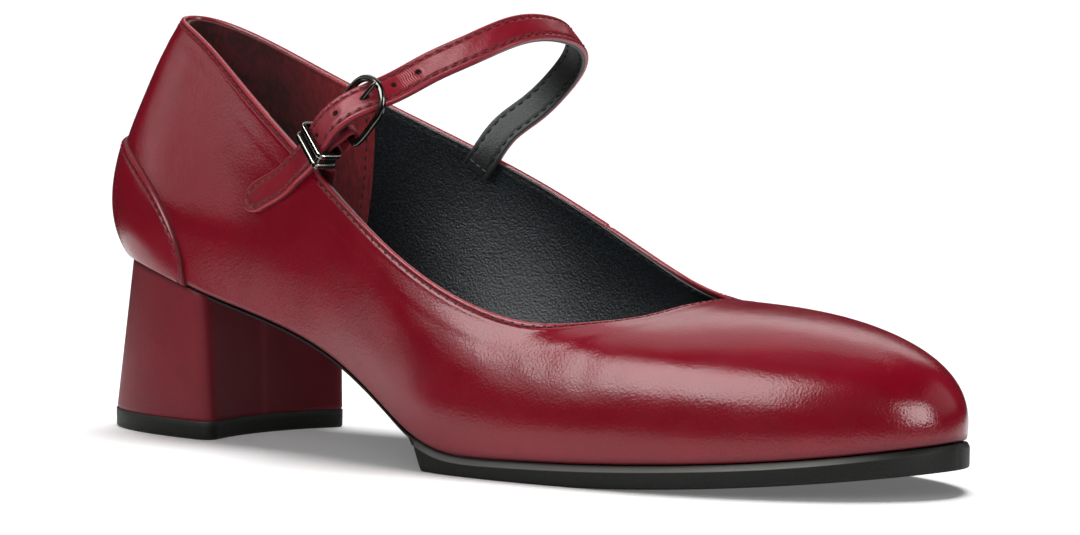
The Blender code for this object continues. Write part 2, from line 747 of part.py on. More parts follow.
def slab_profile(half_width, half_thick, corner):
    return np.array([
        (-half_width, -half_thick + corner),
        (-half_width, half_thick - corner),
        (-half_width + corner, half_thick),
        (half_width - corner, half_thick),
        (half_width, half_thick - corner),
        (half_width, -half_thick + corner),
        (half_width - corner, -half_thick),
        (-half_width + corner, -half_thick),
    ])


def round_profile(radius, sides=8):
    turn = np.arange(sides) * 2 * math.pi / sides
    return np.stack([radius * np.cos(turn), radius * np.sin(turn)], axis=1)


def build_strap():
    total = strap_line()[0][-1]
    straight = np.linspace(0.0, total - TIP_LENGTH, STRAP_STEPS)
    turn = np.radians(np.linspace(0.0, TIP_TURN, TIP_STEPS + 1))[1:]
    lengths = np.concatenate([straight, total - TIP_LENGTH + TIP_LENGTH * np.sin(turn)])
    widths = np.concatenate([np.ones(len(straight)), np.cos(turn)])
    point, _, front, out = strap_frame(lengths)
    profiles = []
    for width in widths:
        half = max(STRAP_WIDTH / 2 * width, TIP_HALF_WIDTH)
        profiles.append(slab_profile(half, STRAP_THICK / 2, STRAP_CORNER))
    strap = swept("strap", point, front, out, profiles, "red_leather")
    cut(strap, prong_hole())


def cutter(name, centre, axis, radius, length):
    """Round cutter, kept out of the build."""
    side = np.cross(axis, (1.0, 0.2, 0.1))
    side /= np.linalg.norm(side)
    other = np.cross(axis, side)
    ends = np.array([centre - axis * length / 2, centre + axis * length / 2])
    profiles = [round_profile(radius, 12)] * 2
    solid = swept(name, ends, [side] * 2, [other] * 2, profiles, "gunmetal")
    hide_cutter(solid)
    return solid


def hide_cutter(solid):
    solid.hide_render = True
    solid.display_type = "WIRE"


def cut(solid, tool):
    change = solid.modifiers.new(tool.name, "BOOLEAN")
    change.operation = "DIFFERENCE"
    change.solver = "EXACT"
    change.object = tool


def buckle_axes():
    """Bar's middle, axes (to the far end, to the front, outwards) and the frame's reach."""
    total = strap_line()[0][-1]
    at_bar = strap_frame(total - BAR_FROM_TIP)
    at_far = strap_frame(total - BAR_FROM_TIP - FRAME_REACH)
    bar = at_bar[0] - at_bar[3] * BAR_DEPTH
    far = at_far[0] + at_far[3] * FAR_LIFT
    reach = np.linalg.norm(far - bar)
    ahead = (far - bar) / reach
    front = at_bar[2] + at_far[2]
    front -= (front @ ahead) * ahead
    front /= np.linalg.norm(front)
    return bar, ahead, front, np.cross(front, ahead), reach


def prong_line():
    """Prong's middle line in the buckle's plane: round the bar and out to the far end."""
    reach = buckle_axes()[4]
    loop = BAR_RADIUS + GAP + PRONG_RADIUS
    turn = np.radians(np.linspace(-60, -270, 12))
    bend = np.stack([loop * np.cos(turn), loop * np.sin(turn)], axis=1)
    end = FRAME_RADIUS + GAP + PRONG_RADIUS
    share = np.linspace(0.0, 1.0, 6)[1:]
    straight = np.stack([share * (reach + PRONG_PAST), loop + share * (end - loop)], axis=1)
    return np.vstack([bend, straight])


def prong_hole():
    """Cutter along the prong, where it comes through the strap."""
    bar, ahead, front, out, reach = buckle_axes()
    total = strap_line()[0][-1]
    lengths = total - BAR_FROM_TIP - np.linspace(0.0, FRAME_REACH, 60)
    height = (strap_frame(lengths)[0] - bar) @ out
    level = BAR_RADIUS + GAP + PRONG_RADIUS
    crossing = int(np.argmin(np.abs(height - level)))
    centre = strap_frame(lengths[crossing])[0]
    centre = centre + (level - height[crossing]) * out
    return cutter("prong_hole_cutter", centre, ahead, PRONG_HOLE, PRONG_HOLE_REACH * STRAP_THICK)


def build_frame():
    bar, ahead, front, out, reach = buckle_axes()
    turn = np.radians(np.linspace(-90, 90, 17))
    squared = np.abs(np.cos(turn)) ** FRAME_SQUARENESS
    arc = np.stack([reach * (1.0 - FRAME_ARC + FRAME_ARC * squared),
                    FRAME_HALF_WIDTH * np.sin(turn)], axis=1)
    corner = FRAME_HALF_WIDTH * np.array(FRAME_CORNER)
    middle = FRAME_HALF_WIDTH * np.array(FRAME_BAR)
    outline = np.vstack([middle, corner, arc, corner[::-1] * np.array([1.0, -1.0])])
    centres = bar + outline[:, :1] * ahead + outline[:, 1:] * front
    way = np.roll(centres, -1, axis=0) - np.roll(centres, 1, axis=0)
    way /= np.linalg.norm(way, axis=1, keepdims=True)
    sides = np.cross(way, out)
    near_bar = np.abs(outline[:, 0]) < 0.03
    profiles = [round_profile(BAR_RADIUS if flat else FRAME_RADIUS) for flat in near_bar]
    swept("buckle_frame", centres, sides, [out] * len(centres), profiles,
          "gunmetal", ring=True, sharp_angle=60.0)


def build_prong():
    bar, ahead, front, out, _ = buckle_axes()
    line = prong_line()
    centres = bar + line[:, :1] * ahead + line[:, 1:] * out
    way = np.gradient(centres, axis=0)
    way /= np.linalg.norm(way, axis=1, keepdims=True)
    sides = np.cross(way, front)
    swept("buckle_prong", centres, [front] * len(centres), sides,
          [round_profile(PRONG_RADIUS)] * len(centres), "gunmetal", sharp_angle=60.0)


def build_chape():
    """Strip that holds the buckle: from inside the rim, under the strap, round the bar."""
    bar, ahead, front, out, _ = buckle_axes()
    total = strap_line()[0][-1]
    inside = -(WALL + CHAPE_GAP + CHAPE_THICK / 2)
    rises = np.array(CHAPE_RISES)
    seat = upper_offset(np.full_like(rises, CHAPE_RIB), rises, np.full_like(rises, inside))
    up = (seat[-1] - seat[-2]) / np.linalg.norm(seat[-1] - seat[-2])
    over = seat[-1:] + CHAPE_OVER_RIM * up
    reach = KEEPER_LENGTH / 2 + GAP
    held = total - KEEPER_FROM_TIP - np.array([-reach, reach])
    under, _, under_front, under_out = strap_frame(held)
    kept = under - under_out * (STRAP_THICK / 2 + CHAPE_GAP + CHAPE_THICK / 2)
    loop = BAR_RADIUS + GAP + CHAPE_THICK / 2
    turn = np.radians(np.linspace(90, -90, 9))
    fold = np.stack([loop * np.cos(turn), loop * np.sin(turn)], axis=1)
    fold = np.vstack([fold, [(-back, -loop) for back in CHAPE_FLAP]])
    wrap = bar + fold[:, :1] * ahead + fold[:, 1:] * out
    rows = np.vstack([seat, over, kept, wrap])
    rim_way = upper_surface(CHAPE_RIB + 0.1, 0.95) - upper_surface(CHAPE_RIB - 0.1, 0.95)
    rim_way /= np.linalg.norm(rim_way)
    wides = np.vstack([[rim_way] * (len(seat) + 1), under_front, [front] * len(wrap)])
    knots = np.concatenate([[0.0], np.cumsum(np.linalg.norm(np.diff(rows, axis=0), axis=1))])
    turned = len(seat) + 3
    even = np.linspace(0.0, knots[turned], CHAPE_STEPS)[:-1]
    fine = np.concatenate([even, knots[turned:]])
    line = open_spline(knots, rows, fine)
    wide = np.stack([np.interp(fine, knots, wides[:, i]) for i in range(3)], axis=1)
    way = np.gradient(line, axis=0)
    way /= np.linalg.norm(way, axis=1, keepdims=True)
    wide = wide - (wide * way).sum(1, keepdims=True) * way
    wide /= np.linalg.norm(wide, axis=1, keepdims=True)
    outs = np.cross(wide, way)
    profile = slab_profile(STRAP_WIDTH / 2 - CHAPE_INSET, CHAPE_THICK / 2, CHAPE_CORNER)
    chape = swept("chape", line, wide, outs, [profile] * len(line), "red_leather")
    slot_ends = np.array([bar - ahead * (loop + PRONG_SLOT_BACK),
                          bar + ahead * PRONG_SLOT_AHEAD])
    wide_half = PRONG_SLOT / 2
    high_half = PRONG_SLOT_HALF_HEIGHT
    block = np.array([(-wide_half, -high_half), (-wide_half, high_half),
                      (wide_half, high_half), (wide_half, -high_half)])
    slot = swept("chape_slot_cutter", slot_ends, [front] * 2, [out] * 2, [block] * 2, "gunmetal")
    hide_cutter(slot)
    cut(chape, slot)


def build_keeper():
    """Metal loop round the strap's tail and the chape, with a groove along its band."""
    total = strap_line()[0][-1]
    point, tangent, front, out = strap_frame(total - KEEPER_FROM_TIP)
    high = STRAP_THICK / 2 + GAP
    low = -(STRAP_THICK / 2 + CHAPE_GAP + CHAPE_THICK + KEEPER_ROOM)
    half_wide = STRAP_WIDTH / 2 + KEEPER_ROOM
    centre = point + out * (high + low) / 2
    half_high = (high - low) / 2
    half_long = KEEPER_LENGTH / 2
    band = KEEPER_BAND
    rear_half = [
        (-half_long, 0.0),
        (-half_long, KEEPER_SIDE * band),
        (-half_long + KEEPER_EDGE, band),
        (-GROOVE_TOP, band),
        (-GROOVE_FLOOR, GROOVE_LEVEL * band),
    ]
    front_half = [(-along, thick) for along, thick in rear_half[::-1]]
    groove = np.array(rear_half + front_half)
    corners = [(-1, -1), (-1, 1), (1, 1), (1, -1)]
    vertices = []
    for wide, tall in corners:
        for along, thick in groove:
            reach = np.array([wide * (half_wide + thick), tall * (half_high + thick)])
            vertices.append(centre + tangent * along + front * reach[0] + out * reach[1])
    count = len(groove)
    faces = grid_faces(4, count)
    last = 3 * count
    for i in range(count):
        after = (i + 1) % count
        faces.append((last + i, last + after, after, i))
    solid = add_solid("keeper", vertices, faces, "gunmetal", 30.0)
    face_outwards(solid)


def main():
    clear_scene()
    build_upper()
    build_counter()
    build_outsole()
    build_insole()
    build_heel()
    build_top_piece()
    build_strap()
    build_frame()
    build_prong()
    build_chape()
    build_keeper()


main()
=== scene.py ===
import math
import bpy
import numpy as np
from mathutils import Matrix, Vector


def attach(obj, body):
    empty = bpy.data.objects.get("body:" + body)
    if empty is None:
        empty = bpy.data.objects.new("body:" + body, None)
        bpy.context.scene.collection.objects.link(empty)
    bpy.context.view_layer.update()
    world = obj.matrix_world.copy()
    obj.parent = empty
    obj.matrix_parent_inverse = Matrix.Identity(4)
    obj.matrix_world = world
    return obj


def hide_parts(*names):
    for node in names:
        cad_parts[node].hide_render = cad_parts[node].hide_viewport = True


# A right court shoe with one instep strap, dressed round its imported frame.
# Tables are in millimetres; +X is the toe, -Y the outer side, z = 0 the floor.
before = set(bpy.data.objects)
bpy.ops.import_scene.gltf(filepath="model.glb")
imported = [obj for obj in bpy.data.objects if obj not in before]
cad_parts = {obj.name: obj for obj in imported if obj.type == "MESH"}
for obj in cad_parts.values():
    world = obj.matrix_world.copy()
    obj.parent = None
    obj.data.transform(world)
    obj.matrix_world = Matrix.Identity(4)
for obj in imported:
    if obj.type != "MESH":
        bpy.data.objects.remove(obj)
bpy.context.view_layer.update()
mm = 0.001

shoe = {
    "wall": 2.0,        # leather and lining together
    "gap": 0.3,         # between upper, sole and heel
    "footBlend": 0.12,  # rise over which the wall's normal turns level
    "flareBack": 7.6,   # how far the heel's foot reaches back
    "flareFront": 2.0,
    "footNarrowing": 0.93,
    "liftHeight": 4.7,  # rubber top piece under the heel
    "breastOuter": 19.0,
    "breastInner": 24.0,
    "breastScoop": 4.5,
    "breastCorner": 5.5,
}

# height of the feather line (z) along the shoe (x)
featherRows = [
    (-21, 45.2), (-8, 43.6), (20, 36.7), (50, 29.2), (65, 23.6), (80, 15.5), (92, 8.7),
    (103, 5.4), (118, 4.8), (145, 5.6), (175, 7.4), (200, 9.8), (219, 12.4),
]
# foot x, foot y, rim x, rim y, rim z, belly out, belly up, crown out, crown down: one rib
# each, round the shoe from the back seam by the outer side
ribRows = [
    (-20.5, 0.0, -9.5, 0.0, 106.0, 13.0, 14.0, 13.5, 24.0),
    (-15.5, -14.5, -5.5, -6.3, 104.7, 11.0, 15.0, 12.0, 25.0),
    (-1.0, -23.7, 7.5, -12.0, 99.0, 7.0, 16.0, 9.0, 26.0),
    (20.0, -27.0, 28.0, -19.8, 86.8, 4.0, 17.0, 5.0, 20.0),
    (48.0, -29.3, 52.0, -29.3, 73.7, 3.0, 15.0, 3.0, 15.0),
    (76.0, -34.0, 78.0, -37.2, 58.1, 3.5, 14.0, 2.0, 12.0),
    (104.0, -40.0, 101.0, -38.5, 44.8, 4.0, 13.0, 3.5, 12.0),
    (131.0, -41.0, 122.0, -36.0, 37.7, 4.0, 12.0, 5.5, 9.0),
    (160.0, -37.5, 136.5, -29.0, 37.2, 4.5, 14.0, 13.0, 4.0),
    (189.0, -29.0, 145.5, -18.5, 38.4, 4.5, 17.0, 26.0, 2.0),
    (210.0, -15.5, 149.7, -8.5, 40.3, 4.0, 20.0, 36.0, 0.5),
    (219.5, 1.5, 150.7, 1.5, 41.0, 4.0, 21.0, 40.0, 0.0),
    (211.5, 18.0, 149.0, 11.5, 40.8, 4.0, 20.0, 36.0, 0.5),
    (190.0, 29.5, 144.5, 21.5, 39.7, 4.5, 17.0, 27.0, 2.0),
    (160.0, 36.0, 135.0, 31.0, 40.2, 4.5, 14.0, 14.0, 4.0),
    (131.0, 37.0, 120.5, 36.6, 43.9, 4.0, 13.0, 5.0, 9.0),
    (103.0, 32.5, 99.0, 36.8, 54.5, 5.0, 14.0, 3.0, 12.0),
    (76.0, 26.5, 77.0, 35.2, 65.5, 6.0, 16.0, 2.5, 14.0),
    (48.0, 24.5, 52.0, 28.8, 77.3, 5.0, 18.0, 3.0, 16.0),
    (20.0, 25.5, 28.0, 20.4, 88.9, 4.5, 18.0, 5.0, 20.0),
    (-1.0, 23.0, 7.5, 12.2, 99.8, 7.0, 16.0, 9.0, 26.0),
    (-15.5, 14.0, -5.5, 6.2, 105.2, 11.0, 15.0, 12.0, 25.0),
]
ribCount = len(ribRows)


def unit(vectors):
    return vectors / np.linalg.norm(vectors, axis=-1, keepdims=True)


def apart(first, second):
    # distance |a - b| between points
    return np.linalg.norm(first - second, axis=-1)


def aside(way):
    # a level way turned a quarter to its right: (dy, -dx)
    return np.stack([way[..., 1], -way[..., 0]], axis=-1)


def squareTo(way, ahead):
    # unit part of a way that stands square to another one: w - (w . a) a
    return unit(way - (way * ahead).sum(-1, keepdims=True) * ahead)


def ringWay(points):
    # way along a closed line: from the point before to the point after
    return unit(np.roll(points, -1, axis=0) - np.roll(points, 1, axis=0))


def smooth(low, high, values):
    # 3 t^2 - 2 t^3 with t = (value - low) / (high - low), held to 0..1
    t = np.clip((values - low) / (high - low), 0.0, 1.0)
    return t * t * (3.0 - 2.0 * t)


def bell(values, width):
    # exp(-(value / width)^2)
    return np.exp(-(values / width) ** 2)


def bunched(count, turn):
    # from -1 to 1, closer together towards both ends: sin(turn u) / sin(turn)
    return np.sin(np.linspace(-1, 1, count) * turn) / math.sin(turn)


def roundFall(radius, reach):
    # how far a rounded edge falls at its reach d: R - sqrt(R^2 - (R - d)^2)
    return radius - np.sqrt(radius**2 - np.clip(radius - reach, 0.0, radius)**2)


def hermite(start, end, startSlope, endSlope, t):
    # cubic through two values with their slopes, t from 0 to 1
    t = np.asarray(t).reshape(np.shape(t) + (1,) * (np.ndim(start) - np.ndim(t)))
    return ((2 * t**3 - 3 * t**2 + 1) * start + (t**3 - 2 * t**2 + t) * startSlope
            + (3 * t**2 - 2 * t**3) * end + (t**3 - t**2) * endSlope)


def ringSpline(rows):
    # closed cubic through evenly spaced rows: m[i-1] + 4 m[i] + m[i+1] = 3 (v[i+1] - v[i-1])
    rows = np.asarray(rows, float)
    count = len(rows)
    system = 4.0 * np.eye(count) + np.roll(np.eye(count), 1, 0) + np.roll(np.eye(count), -1, 0)
    slopes = np.linalg.solve(system, 3.0 * (np.roll(rows, -1, 0) - np.roll(rows, 1, 0)))

    def read(at):
        at = np.mod(at, count)
        first = np.floor(at).astype(int) % count
        after = (first + 1) % count
        return hermite(rows[first], rows[after], slopes[first], slopes[after], at - np.floor(at))
    return read


def openSpline(knots, rows):
    # natural cubic through rows at rising knots, straight past its ends
    knots = np.asarray(knots, float)
    rows = np.asarray(rows, float)
    steps = np.diff(knots)
    count = len(knots)
    grades = (np.diff(rows, axis=0).T / steps).T
    system = np.zeros((count, count))
    pull = np.zeros((count,) + rows.shape[1:])
    for i in range(1, count - 1):
        system[i, i - 1:i + 2] = steps[i], 2.0 * (steps[i - 1] + steps[i]), steps[i - 1]
        pull[i] = 3.0 * (steps[i] * grades[i - 1] + steps[i - 1] * grades[i])
    system[0, :2] = 2.0, 1.0
    system[-1, -2:] = 1.0, 2.0
    pull[0], pull[-1] = 3.0 * grades[0], 3.0 * grades[-1]
    slopes = np.linalg.solve(system, pull)

    def read(at):
        at = np.asarray(at, float)
        first = np.clip(np.searchsorted(knots, at, side="right") - 1, 0, count - 2)
        inside = np.clip(at, knots[0], knots[-1])
        wide = steps[first].reshape(at.shape + (1,) * (rows.ndim - 1))
        curve = hermite(rows[first], rows[first + 1], slopes[first] * wide,
                        slopes[first + 1] * wide, (inside - knots[first]) / steps[first])
        past = (at - inside).reshape(wide.shape)
        return curve + past * np.where(past < 0, slopes[0], slopes[-1])
    return read


def readLine(at, run, points):
    # a line read straight between its points, at lengths along it
    return np.stack([np.interp(at, run, part) for part in points.T], axis=-1)


def runAlong(points):
    # length from the first point to each point of a line
    return np.concatenate([[0.0], np.cumsum(np.linalg.norm(np.diff(points, axis=0), axis=1))])


def tubeFaces(rows, cols, closeRows=False, closeCols=True):
    # quads of a grid whose point (row, col) has the index row * cols + col
    row, col = np.meshgrid(np.arange(rows if closeRows else rows - 1),
                           np.arange(cols if closeCols else cols - 1), indexing="ij")
    nextRow, nextCol = (row + 1) % rows, (col + 1) % cols
    quads = [row * cols + col, row * cols + nextCol, nextRow * cols + nextCol, nextRow * cols + col]
    return np.stack(quads, axis=-1).reshape(-1, 4)


def cappedFaces(rows, cols):
    # a tube with each end closed by one face
    end = np.arange(cols)
    return [tubeFaces(rows, cols), end[None, ::-1], (end + (rows - 1) * cols)[None, :]]


def cornerMap(values):
    # a map on the unwrapped grid, read at the four corners of each quad
    corners = [values[:-1, :-1], values[:-1, 1:], values[1:, 1:], values[1:, :-1]]
    return np.stack(corners, axis=2).reshape(-1, 4, values.shape[-1])


def enclosed(points, faceSets):
    # six times the signed volume: the sum over fans of a . (b x c)
    total = 0.0
    for faces in faceSets:
        for i in range(1, faces.shape[1] - 1):
            a, b, c = points[faces[:, 0]], points[faces[:, i]], points[faces[:, i + 1]]
            total += np.einsum("ij,ij->", a, np.cross(b, c))
    return total


def addObject(name, data):
    made = bpy.data.objects.new(name, data)
    bpy.context.scene.collection.objects.link(made)
    return made


def makePiece(name, points, faceSets, finish, replaced=(), tones=None,
              seamMap=None, sharpAngle=45.0):
    # points in mm as (n, 3); each face set holds faces of one size, turned to face out
    points = np.asarray(points, float).reshape(-1, 3)
    middle = points.mean(axis=0)
    if enclosed(points - middle, faceSets) < 0.0:
        faceSets = [faces[:, ::-1] for faces in faceSets]
        seamMap = None if seamMap is None else [part[:, ::-1] for part in seamMap]
    corners = np.concatenate([faces.ravel() for faces in faceSets]).astype(np.int32)
    sizes = np.concatenate([np.full(len(faces), faces.shape[1]) for faces in faceSets])
    starts = (np.cumsum(sizes) - sizes).astype(np.int32)
    mesh = bpy.data.meshes.new(name)
    mesh.vertices.add(len(points))
    mesh.vertices.foreach_set("co", (points * mm).astype(np.float32).ravel())
    mesh.loops.add(len(corners))
    mesh.loops.foreach_set("vertex_index", corners)
    mesh.polygons.add(len(starts))
    mesh.polygons.foreach_set("loop_start", starts)
    mesh.update(calc_edges=True)
    for label, values in (tones or {}).items():
        layer = mesh.attributes.new(label, "FLOAT", "POINT")
        layer.data.foreach_set("value", np.asarray(values, np.float32).ravel())
    if seamMap is not None:
        flat = np.concatenate([part.reshape(-1, 2) for part in seamMap]).astype(np.float32)
        mesh.uv_layers.new(name="seamMap").data.foreach_set("uv", flat.ravel())
    mesh.validate()
    mesh.shade_smooth()
    mesh.set_sharp_from_angle(angle=math.radians(sharpAngle))
    mesh.materials.append(finish)
    piece = addObject(name, mesh)
    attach(piece, "root")
    if replaced:
        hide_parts(*replaced)
    return piece


def addNode(tree, kind, inputs=None, **settings):
    # one node; an input is a value or another node's socket
    made = tree.nodes.new(kind)
    for key, value in settings.items():
        setattr(made, key, value)
    for key, value in (inputs or {}).items():
        if isinstance(value, bpy.types.NodeSocket):
            tree.links.new(value, made.inputs[key])
        else:
            made.inputs[key].default_value = value
    return made


def sums(tree, operation, first, second=0.0, clamp=False):
    return addNode(tree, "ShaderNodeMath", {0: first, 1: second}, operation=operation,
                   use_clamp=clamp).outputs[0]


def times(tree, first, second):
    return sums(tree, "MULTIPLY", first, second)


def plus(tree, first, second, clamp=False):
    return sums(tree, "ADD", first, second, clamp)


def ranged(tree, value, low, high, toLow, toHigh):
    return addNode(tree, "ShaderNodeMapRange", {
        "Value": value, "From Min": low, "From Max": high, "To Min": toLow, "To Max": toHigh,
    }, interpolation_type="SMOOTHSTEP").outputs[0]


def mixed(tree, share, first, second):
    made = addNode(tree, "ShaderNodeMix", data_type="RGBA")
    for key, value in ((0, share), (6, first), (7, second)):
        if isinstance(value, bpy.types.NodeSocket):
            tree.links.new(value, made.inputs[key])
        else:
            made.inputs[key].default_value = (*value, 1.0) if isinstance(value, tuple) else value
    return made.outputs[2]


def place(tree):
    return addNode(tree, "ShaderNodeTexCoord").outputs["Object"]


def noise(tree, size, detail=2.0, rough=0.5):
    # noise whose lumps are about size mm wide
    return addNode(tree, "ShaderNodeTexNoise", {
        "Vector": place(tree), "Scale": 1.0 / (size * mm), "Detail": detail, "Roughness": rough,
    }).outputs[0]


def cells(tree, size, feature="F1"):
    return addNode(tree, "ShaderNodeTexVoronoi", {
        "Vector": place(tree), "Scale": 1.0 / (size * mm)}, feature=feature).outputs["Distance"]


def tone(tree, label):
    return addNode(tree, "ShaderNodeAttribute", attribute_name=label).outputs["Fac"]


def bump(tree, height, depth, after=None):
    inputs = {"Height": height, "Distance": depth * mm, "Strength": 1.0}
    if after is not None:
        inputs["Normal"] = after
    return addNode(tree, "ShaderNodeBump", inputs).outputs["Normal"]


def needleHoles(tree, pitch):
    # 1 in each needle hole of a seam map (length along, distance across, in mm), faded
    # out with the distance sqrt(along^2 + across^2) from the nearest whole pitch
    spot = addNode(tree, "ShaderNodeSeparateXYZ", {
        0: addNode(tree, "ShaderNodeUVMap", uv_map="seamMap").outputs[0]})
    turn = sums(tree, "FRACT", plus(tree, sums(tree, "DIVIDE", spot.outputs[0], pitch), 0.5))
    along = times(tree, sums(tree, "SUBTRACT", turn, 0.5), pitch)
    squares = [sums(tree, "POWER", sums(tree, "ABSOLUTE", side), 2.0)
               for side in (along, spot.outputs[1])]
    return ranged(tree, sums(tree, "SQRT", plus(tree, *squares)), 0.26, 0.58, 1.0, 0.0)


def newFinish(name, roughness, **sockets):
    made = bpy.data.materials.new(name)
    made.use_nodes = True
    shader = made.node_tree.nodes["Principled BSDF"]
    shader.inputs["Roughness"].default_value = roughness
    for key, value in sockets.items():
        shader.inputs[key].default_value = value
    return made, made.node_tree, shader


def feed(tree, shader, colour, normal, roughness=None):
    for key, value in (("Base Color", colour), ("Roughness", roughness), ("Normal", normal)):
        if value is not None:
            tree.links.new(value, shader.inputs[key])


def calf(name, deep, bright, roughness, grain, pitch=None, gloss=0.38, holeShade=0.95):
    # smooth dyed leather: soft mottling, hair-fine grain of 0.7 cells + 0.9 noise, a painted
    # highlight along its edges, and painted shade, duller, where the shade tone says so and in
    # the needle holes where there is a seam map
    made, tree, shader = newFinish(name, roughness, **{"Coat Weight": 0.05, "Coat Roughness": 0.2,
                                                       "Specular IOR Level": gloss})
    mottle = ranged(tree, noise(tree, 12.0, 2.0, 0.5), 0.2, 0.8, 0.0, 1.0)
    colour = mixed(tree, mottle, deep, bright)
    # painted highlight: pale pink where the edge tone is high, on folds and rounded edges
    colour = mixed(tree, times(tree, tone(tree, "edge"), 0.6), colour, (0.44, 0.055, 0.070))
    # painted shade: the shade tone darkens the colour towards near black
    dark = tone(tree, "shade")
    fine = plus(tree, times(tree, cells(tree, grain), 0.7),
                times(tree, noise(tree, 1.3 * grain, 3.0, 0.6), 0.9))
    normal = bump(tree, noise(tree, 15.0, 2.0), 0.22)
    normal = bump(tree, noise(tree, 3.2, 3.0), 0.035, normal)
    normal = bump(tree, fine, 0.038, normal)
    if pitch:
        holes = needleHoles(tree, pitch)
        # painted shade in the needle holes, scaled by the hole strength given last
        dark = sums(tree, "MAXIMUM", dark, times(tree, holes, holeShade))
        normal = bump(tree, times(tree, holes, -1.0), 0.25, normal)
    colour = mixed(tree, dark, colour, (0.020, 0.0012, 0.0026))
    glow = ranged(tree, noise(tree, 7.0, 2.0), 0.3, 0.7, roughness - 0.02, roughness + 0.03)
    dull = plus(tree, glow, times(tree, dark, 0.6), clamp=True)
    feed(tree, shader, colour, normal, dull)
    return made


def pebbled(name, deep, bright, roughness, grain, depth):
    # black lining leather: rounded pebbles, whose height falls with a cell's distance; paler
    # on the pebbles' tops and darker in the hollows, partly grain tone and partly painted
    # highlight and shade, with a painted highlight on its edges
    made, tree, shader = newFinish(name, roughness, **{"Specular IOR Level": 0.38})
    pebble = cells(tree, grain, "SMOOTH_F1")
    # partly grain tone, partly painted light: 1 on a pebble's top, 0 in the hollows
    pebbleTopLight = ranged(tree, pebble, 0.1, 0.55, 1.0, 0.0)
    colour = mixed(tree, times(tree, pebbleTopLight, noise(tree, 9.0, 3.0)), deep, bright)
    # painted highlight where the edge tone says so
    colour = mixed(tree, tone(tree, "edge"), colour, (0.05, 0.05, 0.052))
    normal = bump(tree, noise(tree, 4.0, 3.0), 0.08)
    normal = bump(tree, times(tree, pebble, -1.0), depth, normal)
    feed(tree, shader, colour, bump(tree, noise(tree, 0.25 * grain, 2.0), 0.02, normal))
    return made


def suede(name, deep, bright, litColour):
    # napped split leather: tone of 0.7 brushed streaks + 0.3 patches, and painted light: a
    # brighter colour where the light tone says so, streaked by the nap
    made, tree, shader = newFinish(name, 0.92, **{"Sheen Weight": 0.35, "Sheen Roughness": 0.5,
                                                  "Specular IOR Level": 0.2})
    brushed = addNode(tree, "ShaderNodeMapping", {"Vector": place(tree), "Scale": (1.0, 1.0, 0.35)})
    napAndLight = addNode(tree, "ShaderNodeTexNoise", {"Vector": brushed.outputs[0], "Scale": 900.0,
                                               "Detail": 4.0}).outputs[0]
    patches = ranged(tree, noise(tree, 12.0, 4.0, 0.6), 0.35, 0.65, 0.0, 1.0)
    share = plus(tree, times(tree, napAndLight, 0.7), times(tree, patches, 0.3))
    colour = mixed(tree, ranged(tree, share, 0.3, 0.75, 0.0, 1.0), deep, bright)
    # painted light: the light tone, streaked by the nap, mixes in the brighter lit colour
    litShare = times(tree, tone(tree, "napAndLight"), ranged(tree, napAndLight, 0.3, 0.7, 0.5, 1.0))
    feed(tree, shader, mixed(tree, litShare, colour, litColour), bump(tree, napAndLight, 0.12))
    return made


def rubber(name, body, litStrip, roughness):
    # matt rubber: fine pores, and a painted highlight, a paler colour, where the strip tone says so
    made, tree, shader = newFinish(name, roughness, **{"Specular IOR Level": 0.12})
    grit = noise(tree, 0.5, 3.0, 0.6)
    colour = mixed(tree, times(tree, grit, 0.07), body, litStrip)
    # painted highlight along the bevels
    colour = mixed(tree, tone(tree, "litStrip"), colour, litStrip)
    normal = bump(tree, noise(tree, 5.0, 2.0), 0.06)
    feed(tree, shader, colour, bump(tree, grit, 0.05, normal))
    return made


def plated(name, colour, rubbedAndGlint, roughness):
    # gunmetal plate: polished, with faint rub marks and painted highlights on its corners
    made, tree, shader = newFinish(name, roughness, **{"Metallic": 1.0})
    rub = noise(tree, 1.6, 3.0, 0.5)
    # faint rub marks, plus the edge tone's painted highlight
    wornAndGlint = plus(tree, times(tree, rub, 0.06), tone(tree, "edge"), clamp=True)
    colour = mixed(tree, wornAndGlint, colour, rubbedAndGlint)
    dull = ranged(tree, rub, 0.3, 0.7, roughness - 0.03, roughness + 0.05)
    feed(tree, shader, colour, bump(tree, rub, 0.004), dull)
    return made


def waxedThread(name, deep, bright):
    # its two tones mixed by fine noise, which is its relief as well
    made, tree, shader = newFinish(name, 0.6, **{"Specular IOR Level": 0.2})
    twist = noise(tree, 0.35, 2.0)
    feed(tree, shader, mixed(tree, twist, deep, bright), bump(tree, twist, 0.05))
    return made


